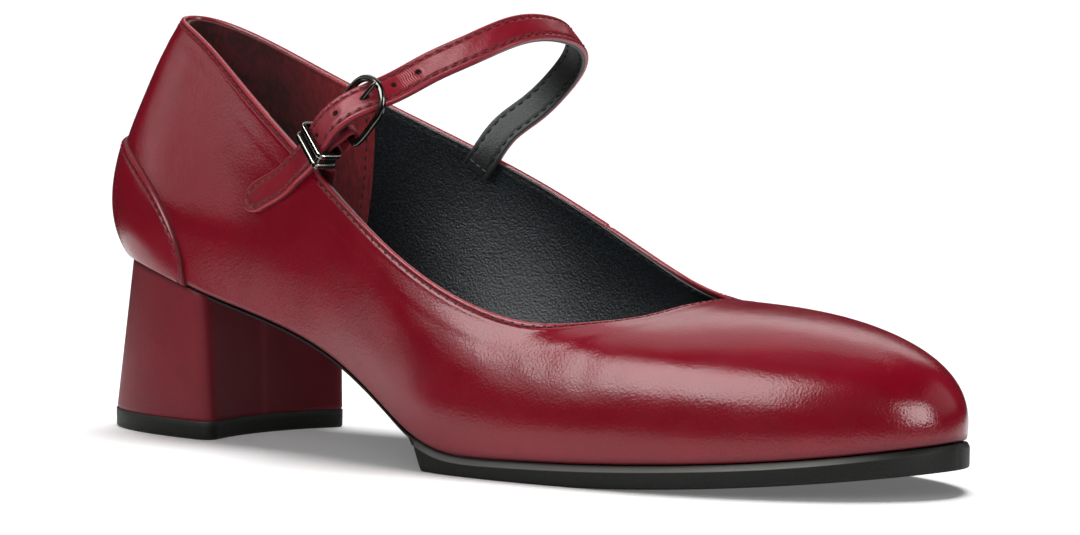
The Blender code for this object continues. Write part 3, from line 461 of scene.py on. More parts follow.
stitch = {
    "pitch": 2.65, "closePitch": 1.9, "filled": 0.72, "radius": 0.19, "arch": 0.12,
    "sunk": 0.14, "rings": 7, "sides": 6,
}
farAway = 9.0       # seam map distance where there is no seam
finishes = {
    "upper": calf("calfRed", (0.205, 0.0022, 0.0122), (0.236, 0.0028, 0.0152), 0.2, 0.58,
                  stitch["pitch"]),
    "cover": calf("calfHeel", (0.175, 0.0034, 0.012), (0.200, 0.0046, 0.015), 0.48, 0.58,
                  gloss=0.22),
    "strap": calf("calfStrap", (0.215, 0.0032, 0.013), (0.258, 0.0048, 0.018), 0.33, 0.5,
                  stitch["pitch"], holeShade=0.62),
    "lining": pebbled("liningBlack", (0.010, 0.014, 0.0185), (0.050, 0.069, 0.087), 0.4, 0.52, 0.1),
    "strapLining": pebbled("strapBlack", (0.006, 0.008, 0.009), (0.030, 0.038, 0.042), 0.52,
                           0.42, 0.05),
    "suede": suede("suedeWine", (0.070, 0.007, 0.008), (0.190, 0.015, 0.020), (0.66, 0.042, 0.058)),
    "sole": rubber("rubberBlack", (0.007, 0.008, 0.007), (0.230, 0.230, 0.212), 0.48),
    "metal": plated("gunmetalPlate", (0.10, 0.097, 0.085), (0.62, 0.60, 0.54), 0.17),
    "thread": waxedThread("threadWine", (0.170, 0.0035, 0.009), (0.270, 0.009, 0.018)),
    "paleThread": waxedThread("threadGrey", (0.16, 0.17, 0.17), (0.32, 0.34, 0.34)),
    "innerThread": waxedThread("threadBlack", (0.008, 0.009, 0.010), (0.035, 0.038, 0.040)),
}
print("finishes ready:", len(finishes))


readRibs = ringSpline(ribRows)
probe = 0.01        # step of rib or rise that slopes are taken over
featherTable = np.array(featherRows, float)
seatHeight = openSpline(featherTable[:, 0], featherTable[:, 1])


def flatNormal(at, column):
    # level normal of the closed line in two neighbouring columns: (dy, -dx) of its tangent
    step = readRibs(at + 2 * probe) - readRibs(at - 2 * probe)
    return unit(aside(step[..., column:column + 2]))


def upperPoint(at, rise):
    # cubic from the feather line F to the rim T by F + belly and T + crown:
    # q^3 F + 3 q^2 r B + 3 q r^2 C + r^3 T, with q = 1 - r
    at, rise = np.broadcast_arrays(np.asarray(at, float), np.asarray(rise, float))
    row = readRibs(at)
    foot = np.stack([row[..., 0], row[..., 1], seatHeight(row[..., 0])], axis=-1)
    rim = row[..., 2:5]
    belly = foot + np.concatenate([row[..., 5:6] * flatNormal(at, 0), row[..., 6:7]], axis=-1)
    crown = rim + np.concatenate([row[..., 7:8] * flatNormal(at, 2), -row[..., 8:9]], axis=-1)
    r = rise[..., None]
    q = 1 - r
    return q**3 * foot + 3 * q**2 * r * belly + 3 * q * r**2 * crown + r**3 * rim


def upperWays(at, rise):
    # unit ways round and up the face, and its normal: round x up
    around = upperPoint(at + probe, rise) - upperPoint(at - probe, rise)
    high, low = np.clip(rise + probe, 0, 1), np.clip(rise - probe, 0, 1)
    up = upperPoint(at, high) - upperPoint(at, low)
    return unit(around), unit(up), unit(np.cross(around, up))


def upperLift(at, rise, lift):
    # face moved by lift along its normal, which is level along the foot
    at, rise = np.broadcast_arrays(np.asarray(at, float), np.asarray(rise, float))
    normal = upperWays(at, rise)[2]
    level = unit(normal * np.array([1.0, 1.0, 0.0]))
    share = np.clip(1.0 - rise / shoe["footBlend"], 0.0, 1.0)[..., None]
    way = unit(share * level + (1 - share) * normal)
    return upperPoint(at, rise) + np.asarray(lift)[..., None] * way


def riseFrom(end, at, reach):
    # the rise that lies reach mm from its end, 0 the foot or 1 the rim, found by scaling
    # its share with reach / chord
    at, reach = np.broadcast_arrays(np.asarray(at, float), np.asarray(reach, float))
    share = reach / 60.0                        # first guess: a face about 60 mm high
    start = upperPoint(at, end)
    for _ in range(5):
        chord = apart(start, upperPoint(at, abs(end - share)))
        share = share * reach / np.maximum(chord, 1e-6)
    return abs(end - share)


def riseUnderRim(at, depth):
    return riseFrom(1.0, at, depth)


def riseOverFoot(at, height):
    return riseFrom(0.0, at, height)


def slideOnUpper(at, rise, along, sideways):
    # moves a line on the face by sideways mm across its own way: least squares of
    # dP = d(at) P_at + d(rise) P_rise
    normal = upperWays(at, rise)[2]
    wanted = unit(np.cross(normal, along)) * sideways
    half = probe / 2
    byAt = (upperPoint(at + probe, rise) - upperPoint(at - probe, rise)) / (2 * probe)
    byRise = (upperPoint(at, rise + half) - upperPoint(at, rise - half)) / probe
    aa, ab, bb = (byAt**2).sum(-1), (byAt * byRise).sum(-1), (byRise**2).sum(-1)
    wa, wb = (wanted * byAt).sum(-1), (wanted * byRise).sum(-1)
    det = aa * bb - ab**2
    return at + (wa * bb - wb * ab) / det, rise + (wb * aa - wa * ab) / det


# side seam of the inner quarter: rib by rise
seamRows = [(0.0, 17.1), (0.83, 16.22), (1.0, 16.04)]
seamRib = openSpline([row[0] for row in seamRows], [row[1] for row in seamRows])

upper = {
    "columns": 430,
    "seamBase": 16.2,       # the column that follows the side seam
    "seamReach": 0.3,       # ribs to either side of it with finer columns
    "seamColumns": 31,
    "ribWidth": 26.0,       # from rib to rib there
    "bodyRows": 62,
    "footSteps": (0.0, 0.12, 0.3, 0.5, 0.75, 1.05, 1.4, 1.9, 2.6, 3.4),     # low rows
    "bandDepth": 6.0,       # fine rows down from the rim
    "bandStep": 0.22,
    "backRows": 26,
    "rollRadius": 0.62,     # folded edge
    "leather": 1.05,
    "stitchDepth": 1.45,    # stitch line under the rim
    "grooveDepth": 0.2,
    "grooveWidth": 0.38,
    "ridge": (0.95, 0.5, 0.07),     # beyond the groove: how far, width, height
    "hemDepth": 8.0,        # width of the turned-in edge
    "hemSoft": 1.2,
    "hemStep": 0.10,
    "waistCurl": 1.5,       # radius of the turned-under lower edge
    "forepartCurl": 0.7,
    "seamStep": 0.32,
    "seamFade": 7.0,        # how far the step runs out ahead of the seam
    "seamGroove": (0.25, 0.35, 0.18),   # behind it: how far, width, depth
    "collarRoll": 0.3,      # soft swelling along the topline
    "collarDepth": 11.5,
    "collarWidth": 7.5,
    "collarRibs": (8.2, 7.0),       # it fades out between these
    "sideSwell": 0.85,      # fuller lower side over the heel
    "sideHeight": 18.0,
    "sideWidth": 8.5,
    "sideRibs": ((1.2, 2.6), (5.2, 3.6)),
    "wave": 0.05,           # lasting waves in the whole face
}
# soft troughs and ridges, listed one by one: rib, rise, rib, rise, width, depth
creaseRows = [
    (6.55, 0.93, 7.00, 0.55, 4.6, 0.12),
    (7.15, 0.92, 7.45, 0.60, 3.8, 0.08),
    (5.60, 0.90, 6.20, 0.62, 4.6, 0.08),
    (8.24, 0.80, 7.63, 0.44, 3.5, 0.12),
    (15.00, 0.92, 15.10, 0.55, 3.2, 0.18),
    (14.30, 0.90, 14.35, 0.58, 2.8, 0.14),
    (2.40, 0.62, 3.30, 0.40, 6.0, -0.10),
]


def creases(points):
    # sum of -depth bell(distance to the stroke), fading at the stroke's ends
    total = np.zeros(points.shape[:-1])
    for ribA, riseA, ribB, riseB, width, depth in creaseRows:
        start, end = upperPoint(ribA, riseA), upperPoint(ribB, riseB)
        way = end - start
        t = ((points - start) @ way) / (way @ way)
        near = np.linalg.norm(points - start - np.clip(t, 0, 1)[..., None] * way, axis=-1)
        total -= depth * bell(near, width) * smooth(-0.25, 0.2, t) * smooth(1.25, 0.8, t)
    return total


def sideSwell(at, overFoot):
    # fuller lower side over the heel: swell bell(height - side height), between two ribs
    swell = upper["sideSwell"] * bell(overFoot - upper["sideHeight"], upper["sideWidth"])
    (first, full), (last, fullTo) = upper["sideRibs"]
    return swell * smooth(first, full, at) * smooth(last, fullTo, at)


def curlRadius(x):
    # radius of the turned-under lower edge, from the forepart's to the waist's
    return upper["forepartCurl"] + (upper["waistCurl"] - upper["forepartCurl"]) * smooth(104, 84, x)


def upperRelief(at, rise, points, underRim, overFoot):
    # everything that stands off the plain form: hem, stitch groove, side seam, creases,
    # collar roll, lasting waves sin(x / 9 + 2 sin(z / 13)) and the turned-under edge
    soft, fromLine = upper["hemSoft"], underRim - upper["stitchDepth"]
    lift = upper["hemStep"] * smooth(upper["hemDepth"] + soft, upper["hemDepth"] - soft, underRim)
    lift -= upper["grooveDepth"] * bell(fromLine, upper["grooveWidth"])
    beyond, wide, high = upper["ridge"]
    lift += high * bell(fromLine - beyond, wide)
    across = (at - seamRib(rise)) * upper["ribWidth"]
    runOut = np.exp(-np.maximum(across, 0) / upper["seamFade"])
    lift += upper["seamStep"] * smooth(-0.15, 0.35, across) * runOut
    behind, wide, deep = upper["seamGroove"]
    lift -= deep * bell(across + behind, wide)
    lift += creases(points)
    collar = upper["collarRoll"] * bell(underRim - upper["collarDepth"], upper["collarWidth"])
    lift += collar * smooth(*upper["collarRibs"], np.minimum(at, ribCount - at))
    lift += sideSwell(at, overFoot)
    waves = upper["wave"] * np.sin(points[..., 0] / 9.0 + 2.0 * np.sin(points[..., 2] / 13.0))
    lift += waves * smooth(1.0, 9.0, underRim)
    return lift - roundFall(curlRadius(points[..., 0]), overFoot)


def upperGrid():
    # base ribs, each row's rises, and the pull that lays a row's ribs along the side seam
    base = np.linspace(0.0, ribCount, upper["columns"], endpoint=False)
    reach = upper["seamReach"]
    fine = upper["seamBase"] + np.linspace(-reach, reach, upper["seamColumns"])
    plain = base[np.abs(base - upper["seamBase"]) > reach + probe]
    base = np.unique(np.concatenate([plain, fine]))
    bandSteps = np.arange(upper["bandDepth"], upper["rollRadius"], -upper["bandStep"])
    bandSteps = np.append(bandSteps, upper["rollRadius"])
    low = riseOverFoot(base, upper["footSteps"][-1])
    high = riseUnderRim(base, bandSteps[0])
    rises = [riseOverFoot(base, step) for step in upper["footSteps"]]
    for share in np.linspace(0.0, 1.0, upper["bodyRows"] + 2)[1:-1]:
        rises.append(low + (high - low) * share)
    rises = np.array(rises + [riseUnderRim(base, step) for step in bandSteps])
    shift = bell(base - upper["seamBase"], 1.2)

    def warped(rise):
        return base + (seamRib(rise) - upper["seamBase"]) * shift
    return base, rises, warped


def upperTones(at, rises, underRim, overFoot, backShares, rows):
    # painted highlight at the fold; painted shade in the stitch groove, behind the side seam and at
    # the sole
    front, folded = len(rises), rows - len(backShares)
    edge, shade = np.zeros((rows, at.shape[1])), np.zeros((rows, at.shape[1]))
    edge[:front] = smooth(1.1, 0.6, underRim)
    edge[front:folded] = 1.0
    edge[folded:] = smooth(0.9, 1.0, backShares)[:, None]
    shade[:front] = 0.5 * bell(underRim - upper["stitchDepth"], upper["grooveWidth"])
    shade[:front] += 0.5 * bell((at - seamRib(rises)) * upper["ribWidth"] + 0.2, 0.3)
    shade[:front] += 0.55 * smooth(2.2, 0.0, overFoot)
    return {"edge": edge, "shade": np.clip(shade, 0, 0.9)}


def buildUpper():
    # a closed section (up the face, over the folded edge, down the back) round the ribs
    base, rises, warped = upperGrid()
    at = warped(rises)
    flat = upperPoint(at, rises)
    underRim = apart(flat, upperPoint(at, 1.0))
    overFoot = apart(flat, upperPoint(at, 0.0))
    face = upperLift(at, rises, upperRelief(at, rises, flat, underRim, overFoot))
    # folded edge: half a circle of radius r from the face over to the back
    radius = upper["rollRadius"]
    _, up, normal = upperWays(at[-1], rises[-1])
    centre = face[-1] - radius * normal
    notch = 1.0 - 0.5 * bell((at[-1] - seamRib(1.0)) * upper["ribWidth"] + 0.3, 0.5)
    turns = np.linspace(0.0, math.pi, 11)[1:-1]
    roll = [centre + radius * (math.cos(t) * normal + math.sin(t) * notch[:, None] * up)
            for t in turns]
    back = []
    backShares = np.linspace(1.0, 0.0, upper["backRows"])
    lowest = riseOverFoot(base, 0.3)
    for share in backShares:
        rise = lowest + (rises[-1] - lowest) * share
        thick = upper["leather"] + (2 * radius - upper["leather"]) * smooth(0.86, 0.97, share)
        thick += curlRadius(flat[0, :, 0]) * smooth(0.08, 0.0, share)
        back.append(upperLift(warped(rise), rise, -thick))
    points = np.concatenate([face, np.array(roll), np.array(back)])
    rows, cols = points.shape[:2]
    # seam map: length along the stitch line, and distance from it
    line = upperPoint(at[-1], riseUnderRim(at[-1], upper["stitchDepth"]))
    run = runAlong(np.concatenate([line, line[:1]]))
    run = run / run[-1] * round(run[-1] / stitch["pitch"]) * stitch["pitch"]
    away = np.full((rows + 1, cols + 1), farAway)
    away[:len(face), :-1] = underRim - upper["stitchDepth"]
    away[:, -1] = away[:, 0]
    seamMap = np.stack([np.broadcast_to(run, away.shape), away], axis=-1)
    makePiece("upperLeather", points, [tubeFaces(rows, cols, closeRows=True)], finishes["upper"],
              ["upper"],
              upperTones(at, rises, underRim, overFoot, backShares, rows), [cornerMap(seamMap)])


buildUpper()
print("upper leather done")

lining = {
    "rows": 58,
    "lift": -1.36,          # its back, against the leather
    "thick": 0.62,
    "topDepth": 0.45,       # its top edge lies this far under the rim
    "topRound": 0.3,
    "footHeight": 1.2,
    "ribWidth": 25.0,       # from rib to rib at the lap
    "heelRib": 18.72,       # where the heel's suede ends, on the inner side
    "overlap": 0.22,
    "lap": 0.09,            # ribs from the suede's end to its stitches
}


def liningShell(name, ribFrom, ribTo, cols, extra, finish, lapRibs):
    # section loop: up the back (lift), round the top edge, down the visible face, whose
    # relief is a bell under the topline's stitches less soft waves, and a bell at each lap
    at = np.linspace(ribFrom, ribTo, cols)
    faceLift = lining["lift"] - lining["thick"] - extra
    top = riseUnderRim(at, lining["topDepth"] + lining["topRound"])
    bottom = riseOverFoot(at, lining["footHeight"])
    loops = []
    for share in np.linspace(0.0, 1.0, 14):
        loops.append(upperLift(at, bottom + (top - bottom) * share, lining["lift"]))
    _, up, normal = upperWays(at, top)
    half = (lining["lift"] - faceLift) / 2
    centre = loops[-1] - half * normal
    for turn in np.linspace(0.0, math.pi, 9)[1:-1]:
        out, over = half * math.cos(turn), lining["topRound"] * math.sin(turn)
        loops.append(centre + out * normal + over * up)
    back = len(loops)
    shares = 1.0 - np.linspace(0.0, 1.0, lining["rows"]) ** 1.3
    rises = bottom + (top - bottom) * shares[:, None]
    wide = np.broadcast_to(at, rises.shape)
    flat = upperPoint(wide, rises)
    underRim = apart(flat, upperPoint(at, 1.0))
    relief = 0.16 * bell(underRim - upper["stitchDepth"], 0.45)
    relief -= 0.05 * np.sin(flat[..., 0] / 7.0 + np.sin(flat[..., 2] / 5.0))
    for rib in lapRibs:
        relief += 0.18 * bell((wide - rib) * lining["ribWidth"], 0.6)
    face = upperLift(wide, rises, faceLift + relief)
    points = np.swapaxes(np.concatenate([np.array(loops), face]), 0, 1)
    # painted highlight on the top edge; painted light on the suede, growing towards the front
    edge = np.zeros(points.shape[:2])
    edge[:, back - 7:back + 2] = 1.0
    makePiece(name, points, cappedFaces(cols, points.shape[1]), finish, (),
              {"edge": edge, "napAndLight": smooth(8.0, 34.0, points[..., 0])})


heelRib = lining["heelRib"]
liningShell("liningFront", ribCount - heelRib - 0.25, heelRib + 0.25, 330, 0.0,
            finishes["lining"], ())
liningShell("liningHeel", heelRib - ribCount, ribCount - heelRib, 110, lining["overlap"],
            finishes["suede"],
            (heelRib - ribCount + lining["lap"], ribCount - heelRib - lining["lap"]))
print("lining done")

counter = {
    "columns": 181, "rows": 66,
    "spread": 2.72, "rise": 0.55, "arch": 2.5,      # outline, in ribs and rise
    "turn": 84.0, "bunching": 1.25,     # degrees of the outline, and how its columns bunch
    "thick": 0.7, "gap": 0.38,
    "edgeWidth": 1.15, "edgeLift": 0.12,
    "inset": 1.9, "grooveDepth": 0.2, "grooveWidth": 0.4,       # stitch line
    "ridge": (1.0, 0.5, 0.07),      # outside it: how far in, width, height
    "footRound": 0.9,
}


def counterOutline(turn):
    # superellipse: rib = sin t spread, rise = (1 - |sin t|^n)^(1/n) rise
    power = counter["arch"]
    rise = (1.0 - np.abs(np.sin(turn)) ** power) ** (1.0 / power) * counter["rise"]
    return np.sin(turn) * counter["spread"], rise


def counterLift(inset, overFoot):
    # edge lift + rest sqrt(1 - c^2) round a quarter edge, less the groove's bell, plus the
    # ridge's, less the rounded foot
    low, far = counter["edgeLift"], counter["gap"] + counter["thick"]
    cut = np.clip(1.0 - inset / counter["edgeWidth"], 0.0, 1.0)
    lift = low + (far - low) * np.sqrt(1.0 - cut**2)
    groove = counter["grooveDepth"] * bell(inset - counter["inset"], counter["grooveWidth"])
    lift -= groove * smooth(0.5, 1.2, inset)
    outside, wide, high = counter["ridge"]
    lift += high * bell(inset - outside, wide)
    return lift - roundFall(counter["footRound"], overFoot)


def borderWall(rows, cols):
    # quads round a grid's border, down to its copy that follows it
    border = np.concatenate([np.arange(cols), cols * np.arange(1, rows) + cols - 1,
                             (rows - 1) * cols + np.arange(cols - 2, -1, -1),
                             cols * np.arange(rows - 2, 0, -1)])
    after, size = np.roll(border, -1), rows * cols
    return np.stack([border, border + size, after + size, after], axis=1)


def buildCounter():
    # face and back on a grid under the outline, joined round their border
    cols, rows = counter["columns"], counter["rows"]
    turn = np.radians(counter["turn"]) * bunched(cols, counter["bunching"])
    spread, arch = counterOutline(turn)
    share = np.sin(np.linspace(0.0, math.pi / 2, rows))
    share = 0.03 + 0.97 * (0.35 * np.linspace(0, 1, rows) + 0.65 * share)
    at = np.broadcast_to(spread, (rows, cols))
    rise = share[:, None] * arch[None, :]
    flat = upperPoint(at, rise)
    line = upperPoint(spread, arch)
    ends = np.minimum(apart(flat, flat[:, :1]), apart(flat, flat[:, -1:]))
    inset = np.minimum(ends, apart(flat, line))
    overFoot = apart(flat, upperPoint(at, 0.0))
    swell = sideSwell(at, overFoot)
    face = upperLift(at, rise, counterLift(inset, overFoot) + swell)
    back = upperLift(at, rise, swell - 0.05)
    points = np.concatenate([face.reshape(-1, 3), back.reshape(-1, 3)])
    size = rows * cols
    faces, wall = tubeFaces(rows, cols, closeCols=False), borderWall(rows, cols)
    fromLine = inset - counter["inset"]
    # painted shade: in the stitch groove, a dark line at the outer edge, and on the hidden back
    dark = 0.35 * bell(fromLine, 0.45) + 0.62 * smooth(0.75, 0.1, inset)
    shade = np.concatenate([dark.ravel(), np.full(size, 0.8)])
    seam = np.stack([np.broadcast_to(runAlong(line), (rows, cols)), fromLine], axis=-1)
    plain = np.full((len(faces) + len(wall), 4, 2), farAway)
    makePiece("counterLeather", points, [faces, faces[:, ::-1] + size, wall], finishes["upper"],
              ["heel_counter"], {"edge": np.zeros(2 * size), "shade": shade},
              [cornerMap(seam), plain])


buildCounter()
print("counter done")


def featherSides(offset):
    # feather line in plan moved outwards, as its outer and inner side from back to tip
    steps = 1760
    at = np.linspace(0.0, ribCount, steps + 1)
    row = readRibs(at)
    offset = offset(row[:, 0]) if callable(offset) else offset
    line = row[:, :2] + np.asarray(offset).reshape(-1, 1) * flatNormal(at, 0)
    tip, back = int(np.argmax(line[:, 0])), int(np.argmin(line[:-1, 0]))
    back -= steps if back > tip else 0
    outer = line[np.arange(back, tip + 1) % steps]
    inner = line[np.arange(tip, back + steps + 1) % steps][::-1]
    return outer, inner


sole = {
    "stations": 330, "insoleStations": 150, "acrossCount": 41, "bunching": 1.3,
    "waist": 0.5,           # what shows of it; the solid's is thicker
    "waistLedge": -0.6, "ledge": 0.8, "ledgeFrom": 84.0, "ledgeRun": 20.0,
    "bevel": 1.4, "footBevel": 0.5,
    "evenTo": (0.78, 0.86),     # share of the stations and of the length, then crowded
    "scoopRun": 0.12,           # share of the length that the breast's scoop fades over
    "stepStart": 94.0, "stepRun": 3.5, "flatEnd": 142.0, "spring": 6.3, "springPower": 1.5,
    "insole": 2.2, "insoleLift": 0.15, "insoleBevels": (0.5, 0.3), "insoleDish": 0.45,
    "treadFrom": 112.0, "treadTo": 206.0, "treadPitch": 5.2, "treadDepth": 0.45,
    "treadWave": (1.6, 4.5),        # sideways wander, and its length over 2 pi
    "treadMargin": (4.0, 6.0),      # from the edge: where the grooves begin, and are full
}
# side of a sole: share of the bevel inwards, and down from the top or up from the foot
topRounding = [(0.86, 0.05), (0.5, 0.36), (0.14, 0.75), (0.03, 0.93), (0.0, 1.08)]
footRounding = [(0.0, 1.25), (0.05, 0.7), (0.3, 0.28), (0.7, 0.05)]


def soleLedge(x):
    # how far the sole stands out, straight from the waist's to the forepart's
    share = np.clip((x - sole["ledgeFrom"]) / sole["ledgeRun"], 0, 1)
    return sole["waistLedge"] + (sole["ledge"] - sole["waistLedge"]) * share


def treadHeight(x):
    # flat on the floor, then rising to the toe: spring s^1.5
    tip = ribRows[ribCount // 2][0] + sole["ledge"]
    share = np.clip((x - sole["flatEnd"]) / (tip - sole["flatEnd"]), 0.0, 1.0)
    return sole["spring"] * share ** sole["springPower"]


def soleTop(x):
    return seatHeight(x) - shoe["gap"]


def soleBottom(x):
    # the waist's thickness under the top, then a straight step down to the tread
    share = np.clip((x - sole["stepStart"]) / sole["stepRun"], 0.0, 1.0)
    return (1.0 - share) * (soleTop(x) - sole["waist"]) + share * treadHeight(x)


def deckLoop():
    # one station: top deck, side, bottom deck, side, as rows of on top or not, where
    # across, cut inwards, cut off the height
    deck = [(side, 1.0, 0.0) for side in bunched(sole["acrossCount"], sole["bunching"])]
    flanks = [[(side, *row) for row in rows] for side in (1.0, -1.0)
              for rows in (topRounding, footRounding)]
    return ([(True, *row) for row in deck + flanks[0]]
            + [(False, *row) for row in flanks[1] + deck[::-1] + flanks[3][::-1]]
            + [(True, *row) for row in flanks[2][::-1]])


def deckFaces(steps, cols):
    # the tube, and at each end the strips between the decks and two side wedges
    sides, deckEnd = len(topRounding) + len(footRounding), sole["acrossCount"] - 1
    i = np.arange(deckEnd)
    low = cols - sides - 1 - i
    strips = np.stack([i, i + 1, low - 1, low], axis=1)
    last = (steps - 1) * cols
    faceSets = [tubeFaces(steps, cols), strips, strips[:, ::-1] + last]
    for wedge in (np.arange(deckEnd, deckEnd + sides + 2),
                  np.concatenate([[0], np.arange(cols - sides - 1, cols)])):
        faceSets += [wedge[None, :], wedge[None, ::-1] + last]
    return faceSets


def deckedForm(start, steps, offset, scoop, topOf, bottomOf, bevels, roundBack):
    # stations along the shoe at centre + half side squeeze, less the breast's scoop
    # (1 - side^2), crowded towards the tip, or towards both ends as 0.5 - 0.5 cos(pi s)
    outer, inner = featherSides(offset)
    tip = outer[-1, 0] - 0.05
    share = np.linspace(0.0, 1.0, steps)
    if roundBack:
        along = 0.5 - 0.5 * np.cos(share * math.pi)
    else:
        even, reached = sole["evenTo"]
        crowded = np.sin((share - even) / (1 - even) * math.pi / 2)
        along = np.where(share < even, share / even * reached, reached + (1 - reached) * crowded)
    ends = []
    for side, first in zip((outer, inner), start):
        x = first + (tip - first) * along
        ends.append(np.stack([x, np.interp(x, side[:, 0], side[:, 1])], axis=1))
    half, centre = (ends[1] - ends[0]) / 2, (ends[1] + ends[0]) / 2
    width = 2 * np.linalg.norm(half, axis=1)
    thick = topOf(centre[:, 0]) - bottomOf(centre[:, 0])
    topCut, footCut = np.minimum(bevels[0], 0.4 * thick), np.minimum(bevels[1], 0.2 * thick)
    drop = scoop * np.maximum(0.0, 1.0 - along / sole["scoopRun"])
    points, litStrip = [], []
    for onTop, side, inset, off in deckLoop():
        cut = topCut if onTop else footCut
        squeeze = np.maximum(0.03, 1.0 - 2 * cut * inset / width)
        plan = centre + half * (side * squeeze)[:, None]
        x, y = plan[:, 0] - drop * (1 - side**2), plan[:, 1]
        z = topOf(x) - cut * off if onTop else bottomOf(x) + cut * off
        points.append(np.stack([x, y, z], axis=1))
        # painted highlight on the top's bevel, and a little of it on the deck
        edgeLight = 0.3 if off == 0.0 else 0.35 if off < 0.2 else 1.0 * (off < 0.97)
        litStrip.append(np.full(steps, edgeLight * onTop))
    return np.stack(points, axis=1), np.stack(litStrip, axis=1), deckFaces(steps, len(points))


def buildOutsole():
    start = (shoe["breastOuter"] + shoe["gap"], shoe["breastInner"] + shoe["gap"])
    points, litStrip, faceSets = deckedForm(start, sole["stations"], soleLedge, shoe["breastScoop"],
                                         soleTop, soleBottom, (sole["bevel"], sole["footBevel"]),
                                         False)
    # tread: shallow grooves cos(2 pi (x + wander) / pitch) across the forefoot, clear of
    # its edge
    x, y, z = points[..., 0], points[..., 1], points[..., 2]
    under = z < soleBottom(x) + 0.02
    inset = np.minimum(y - y.min(1, keepdims=True), y.max(1, keepdims=True) - y)
    wander, length = sole["treadWave"]
    wave = np.cos(2 * math.pi * (x + wander * np.sin(y / length)) / sole["treadPitch"])
    groove = smooth(0.35, 0.75, wave) * smooth(*sole["treadMargin"], inset)
    start, end = sole["treadFrom"], sole["treadTo"]
    groove *= smooth(start, start + 3, x) * smooth(end, end - 3, x)
    points[..., 2] += np.where(under, sole["treadDepth"] * groove, 0.0)
    # painted highlight along the bevel, brightest near the toe
    fade = (0.7 + 0.5 * bell(x - 188.0, 14.0)) * smooth(216.0, 198.0, x) * smooth(88.0, 102.0, x)
    makePiece("outsoleRubber", points, faceSets, finishes["sole"], ["outsole"],
              {"litStrip": litStrip * fade}, sharpAngle=38.0)


def buildInsole():
    def topOf(x):
        return seatHeight(x) + sole["insole"]

    def bottomOf(x):
        return seatHeight(x) + sole["insoleLift"]
    offset = -shoe["wall"] - shoe["gap"]
    back = featherSides(offset)[0][0, 0] + 0.06
    points, litStrip, faceSets = deckedForm((back, back), sole["insoleStations"], offset, 0.0, topOf,
                                         bottomOf, sole["insoleBevels"], True)
    # footbed: dished inside its rim, by the dish smooth(1, 0.6, |share across|)
    y = points[..., 1]
    low, high = y.min(1, keepdims=True), y.max(1, keepdims=True)
    share = np.clip(2 * (y - low) / np.maximum(high - low, 1e-6) - 1, -1, 1)
    top = points[..., 2] > topOf(points[..., 0]) - 0.05
    points[..., 2] -= np.where(top, sole["insoleDish"] * smooth(1.0, 0.6, np.abs(share)), 0.0)
    # painted highlight on the bevel, through the edge tone
    makePiece("insoleSock", points, faceSets, finishes["lining"], ["insole"],
              {"edge": 0.6 * litStrip}, sharpAngle=38.0)


buildOutsole()
buildInsole()
print("sole and insole done")

heel = {
    "backCount": 130, "cornerCount": 14, "breastCount": 47, "rings": 64,
    "cornerTrim": 1.9,      # half corners that the breast's arc is kept clear by
    "inset": 0.2, "topRound": 0.45, "footRound": 0.3,
    "footGap": 0.06,        # clear of the lift
    "seamHeight": 0.12,     # join down the middle of the breast
    "seamWidth": 0.9,       # in points of the plan
}
# side of the lift: inset, depth, painted highlight; small rounds at both edges and a hair of
# draught
liftRows = [
    (0.25, 0.0, 0.9), (0.08, 0.1, 0.6), (0.0, 0.3, 0.25), (0.0, 1.6, 0.0), (0.03, 3.2, 0.0),
    (0.05, 4.1, 0.0), (0.12, 4.4, 0.1), (0.28, 4.6, 0.1), (0.5, 4.7, 0.0),
]


def heelPlan(offset):
    # round the back from corner to corner, then the scooped breast; corners are
    # parabolas between points breastCorner mm either side
    outer, inner = featherSides(offset)
    outer = outer[outer[:, 0] < shoe["breastOuter"]][::-1]
    inner = inner[inner[:, 0] < shoe["breastInner"]]
    line = np.vstack([outer, inner[1:]])
    run = runAlong(line)
    corner = shoe["breastCorner"]
    wanted = np.linspace(corner, run[-1] - corner, heel["backCount"])
    back = readLine(wanted, run, line)
    first, last = line[0], line[-1]
    where = np.linspace(-1.0, 1.0, heel["breastCount"] + 2)
    chord = np.linalg.norm(first - last)
    where = where[np.abs(where) < 1.0 - heel["cornerTrim"] * corner / chord]
    arc = (last + first) / 2 + (first - last) / 2 * where[:, None]
    arc[:, 0] -= shoe["breastScoop"] * (1.0 - where**2)
    corners = []
    for before, tip, after in ((arc[-1], first, back[0]), (back[-1], last, arc[0])):
        part = np.linspace(0.0, 1.0, heel["cornerCount"] + 1)[:-1, None]
        toBefore, toAfter = unit(before - tip) * corner, unit(after - tip) * corner
        corners.append(tip + (1 - part)**2 * toBefore + part**2 * toAfter)
    plan = np.vstack([corners[0], back, corners[1], arc])
    turned = np.linspace(0.0, 1.0, heel["cornerCount"])
    isBreast = np.concatenate([1.0 - turned, np.zeros(len(back)), turned, np.ones(len(arc))])
    return plan, isBreast, len(arc)


def heelFoot(plan):
    # the plan at the floor: longer at both ends and a little narrower
    x = plan[:, 0]
    share = (x - x.min()) / (x.max() - x.min())
    moved = plan * np.array([1.0, shoe["footNarrowing"]])
    moved[:, 0] += shoe["flareFront"] * share - shoe["flareBack"] * (1 - share)
    return moved


def inwards(plan, distance):
    # plan moved in along its own normal
    area = (plan[:, 0] * np.roll(plan[:, 1], -1) - plan[:, 1] * np.roll(plan[:, 0], -1)).sum()
    return plan - math.copysign(1.0, area) * distance * aside(ringWay(plan))


def discRings(plan, shrinks, heightOf):
    # the plan drawn in on its middle, to close an end
    middle = plan.mean(axis=0)
    spots = [middle + (plan - middle) * shrink for shrink in shrinks]
    return [np.column_stack([spot, heightOf(spot[:, 0])]) for spot in spots]


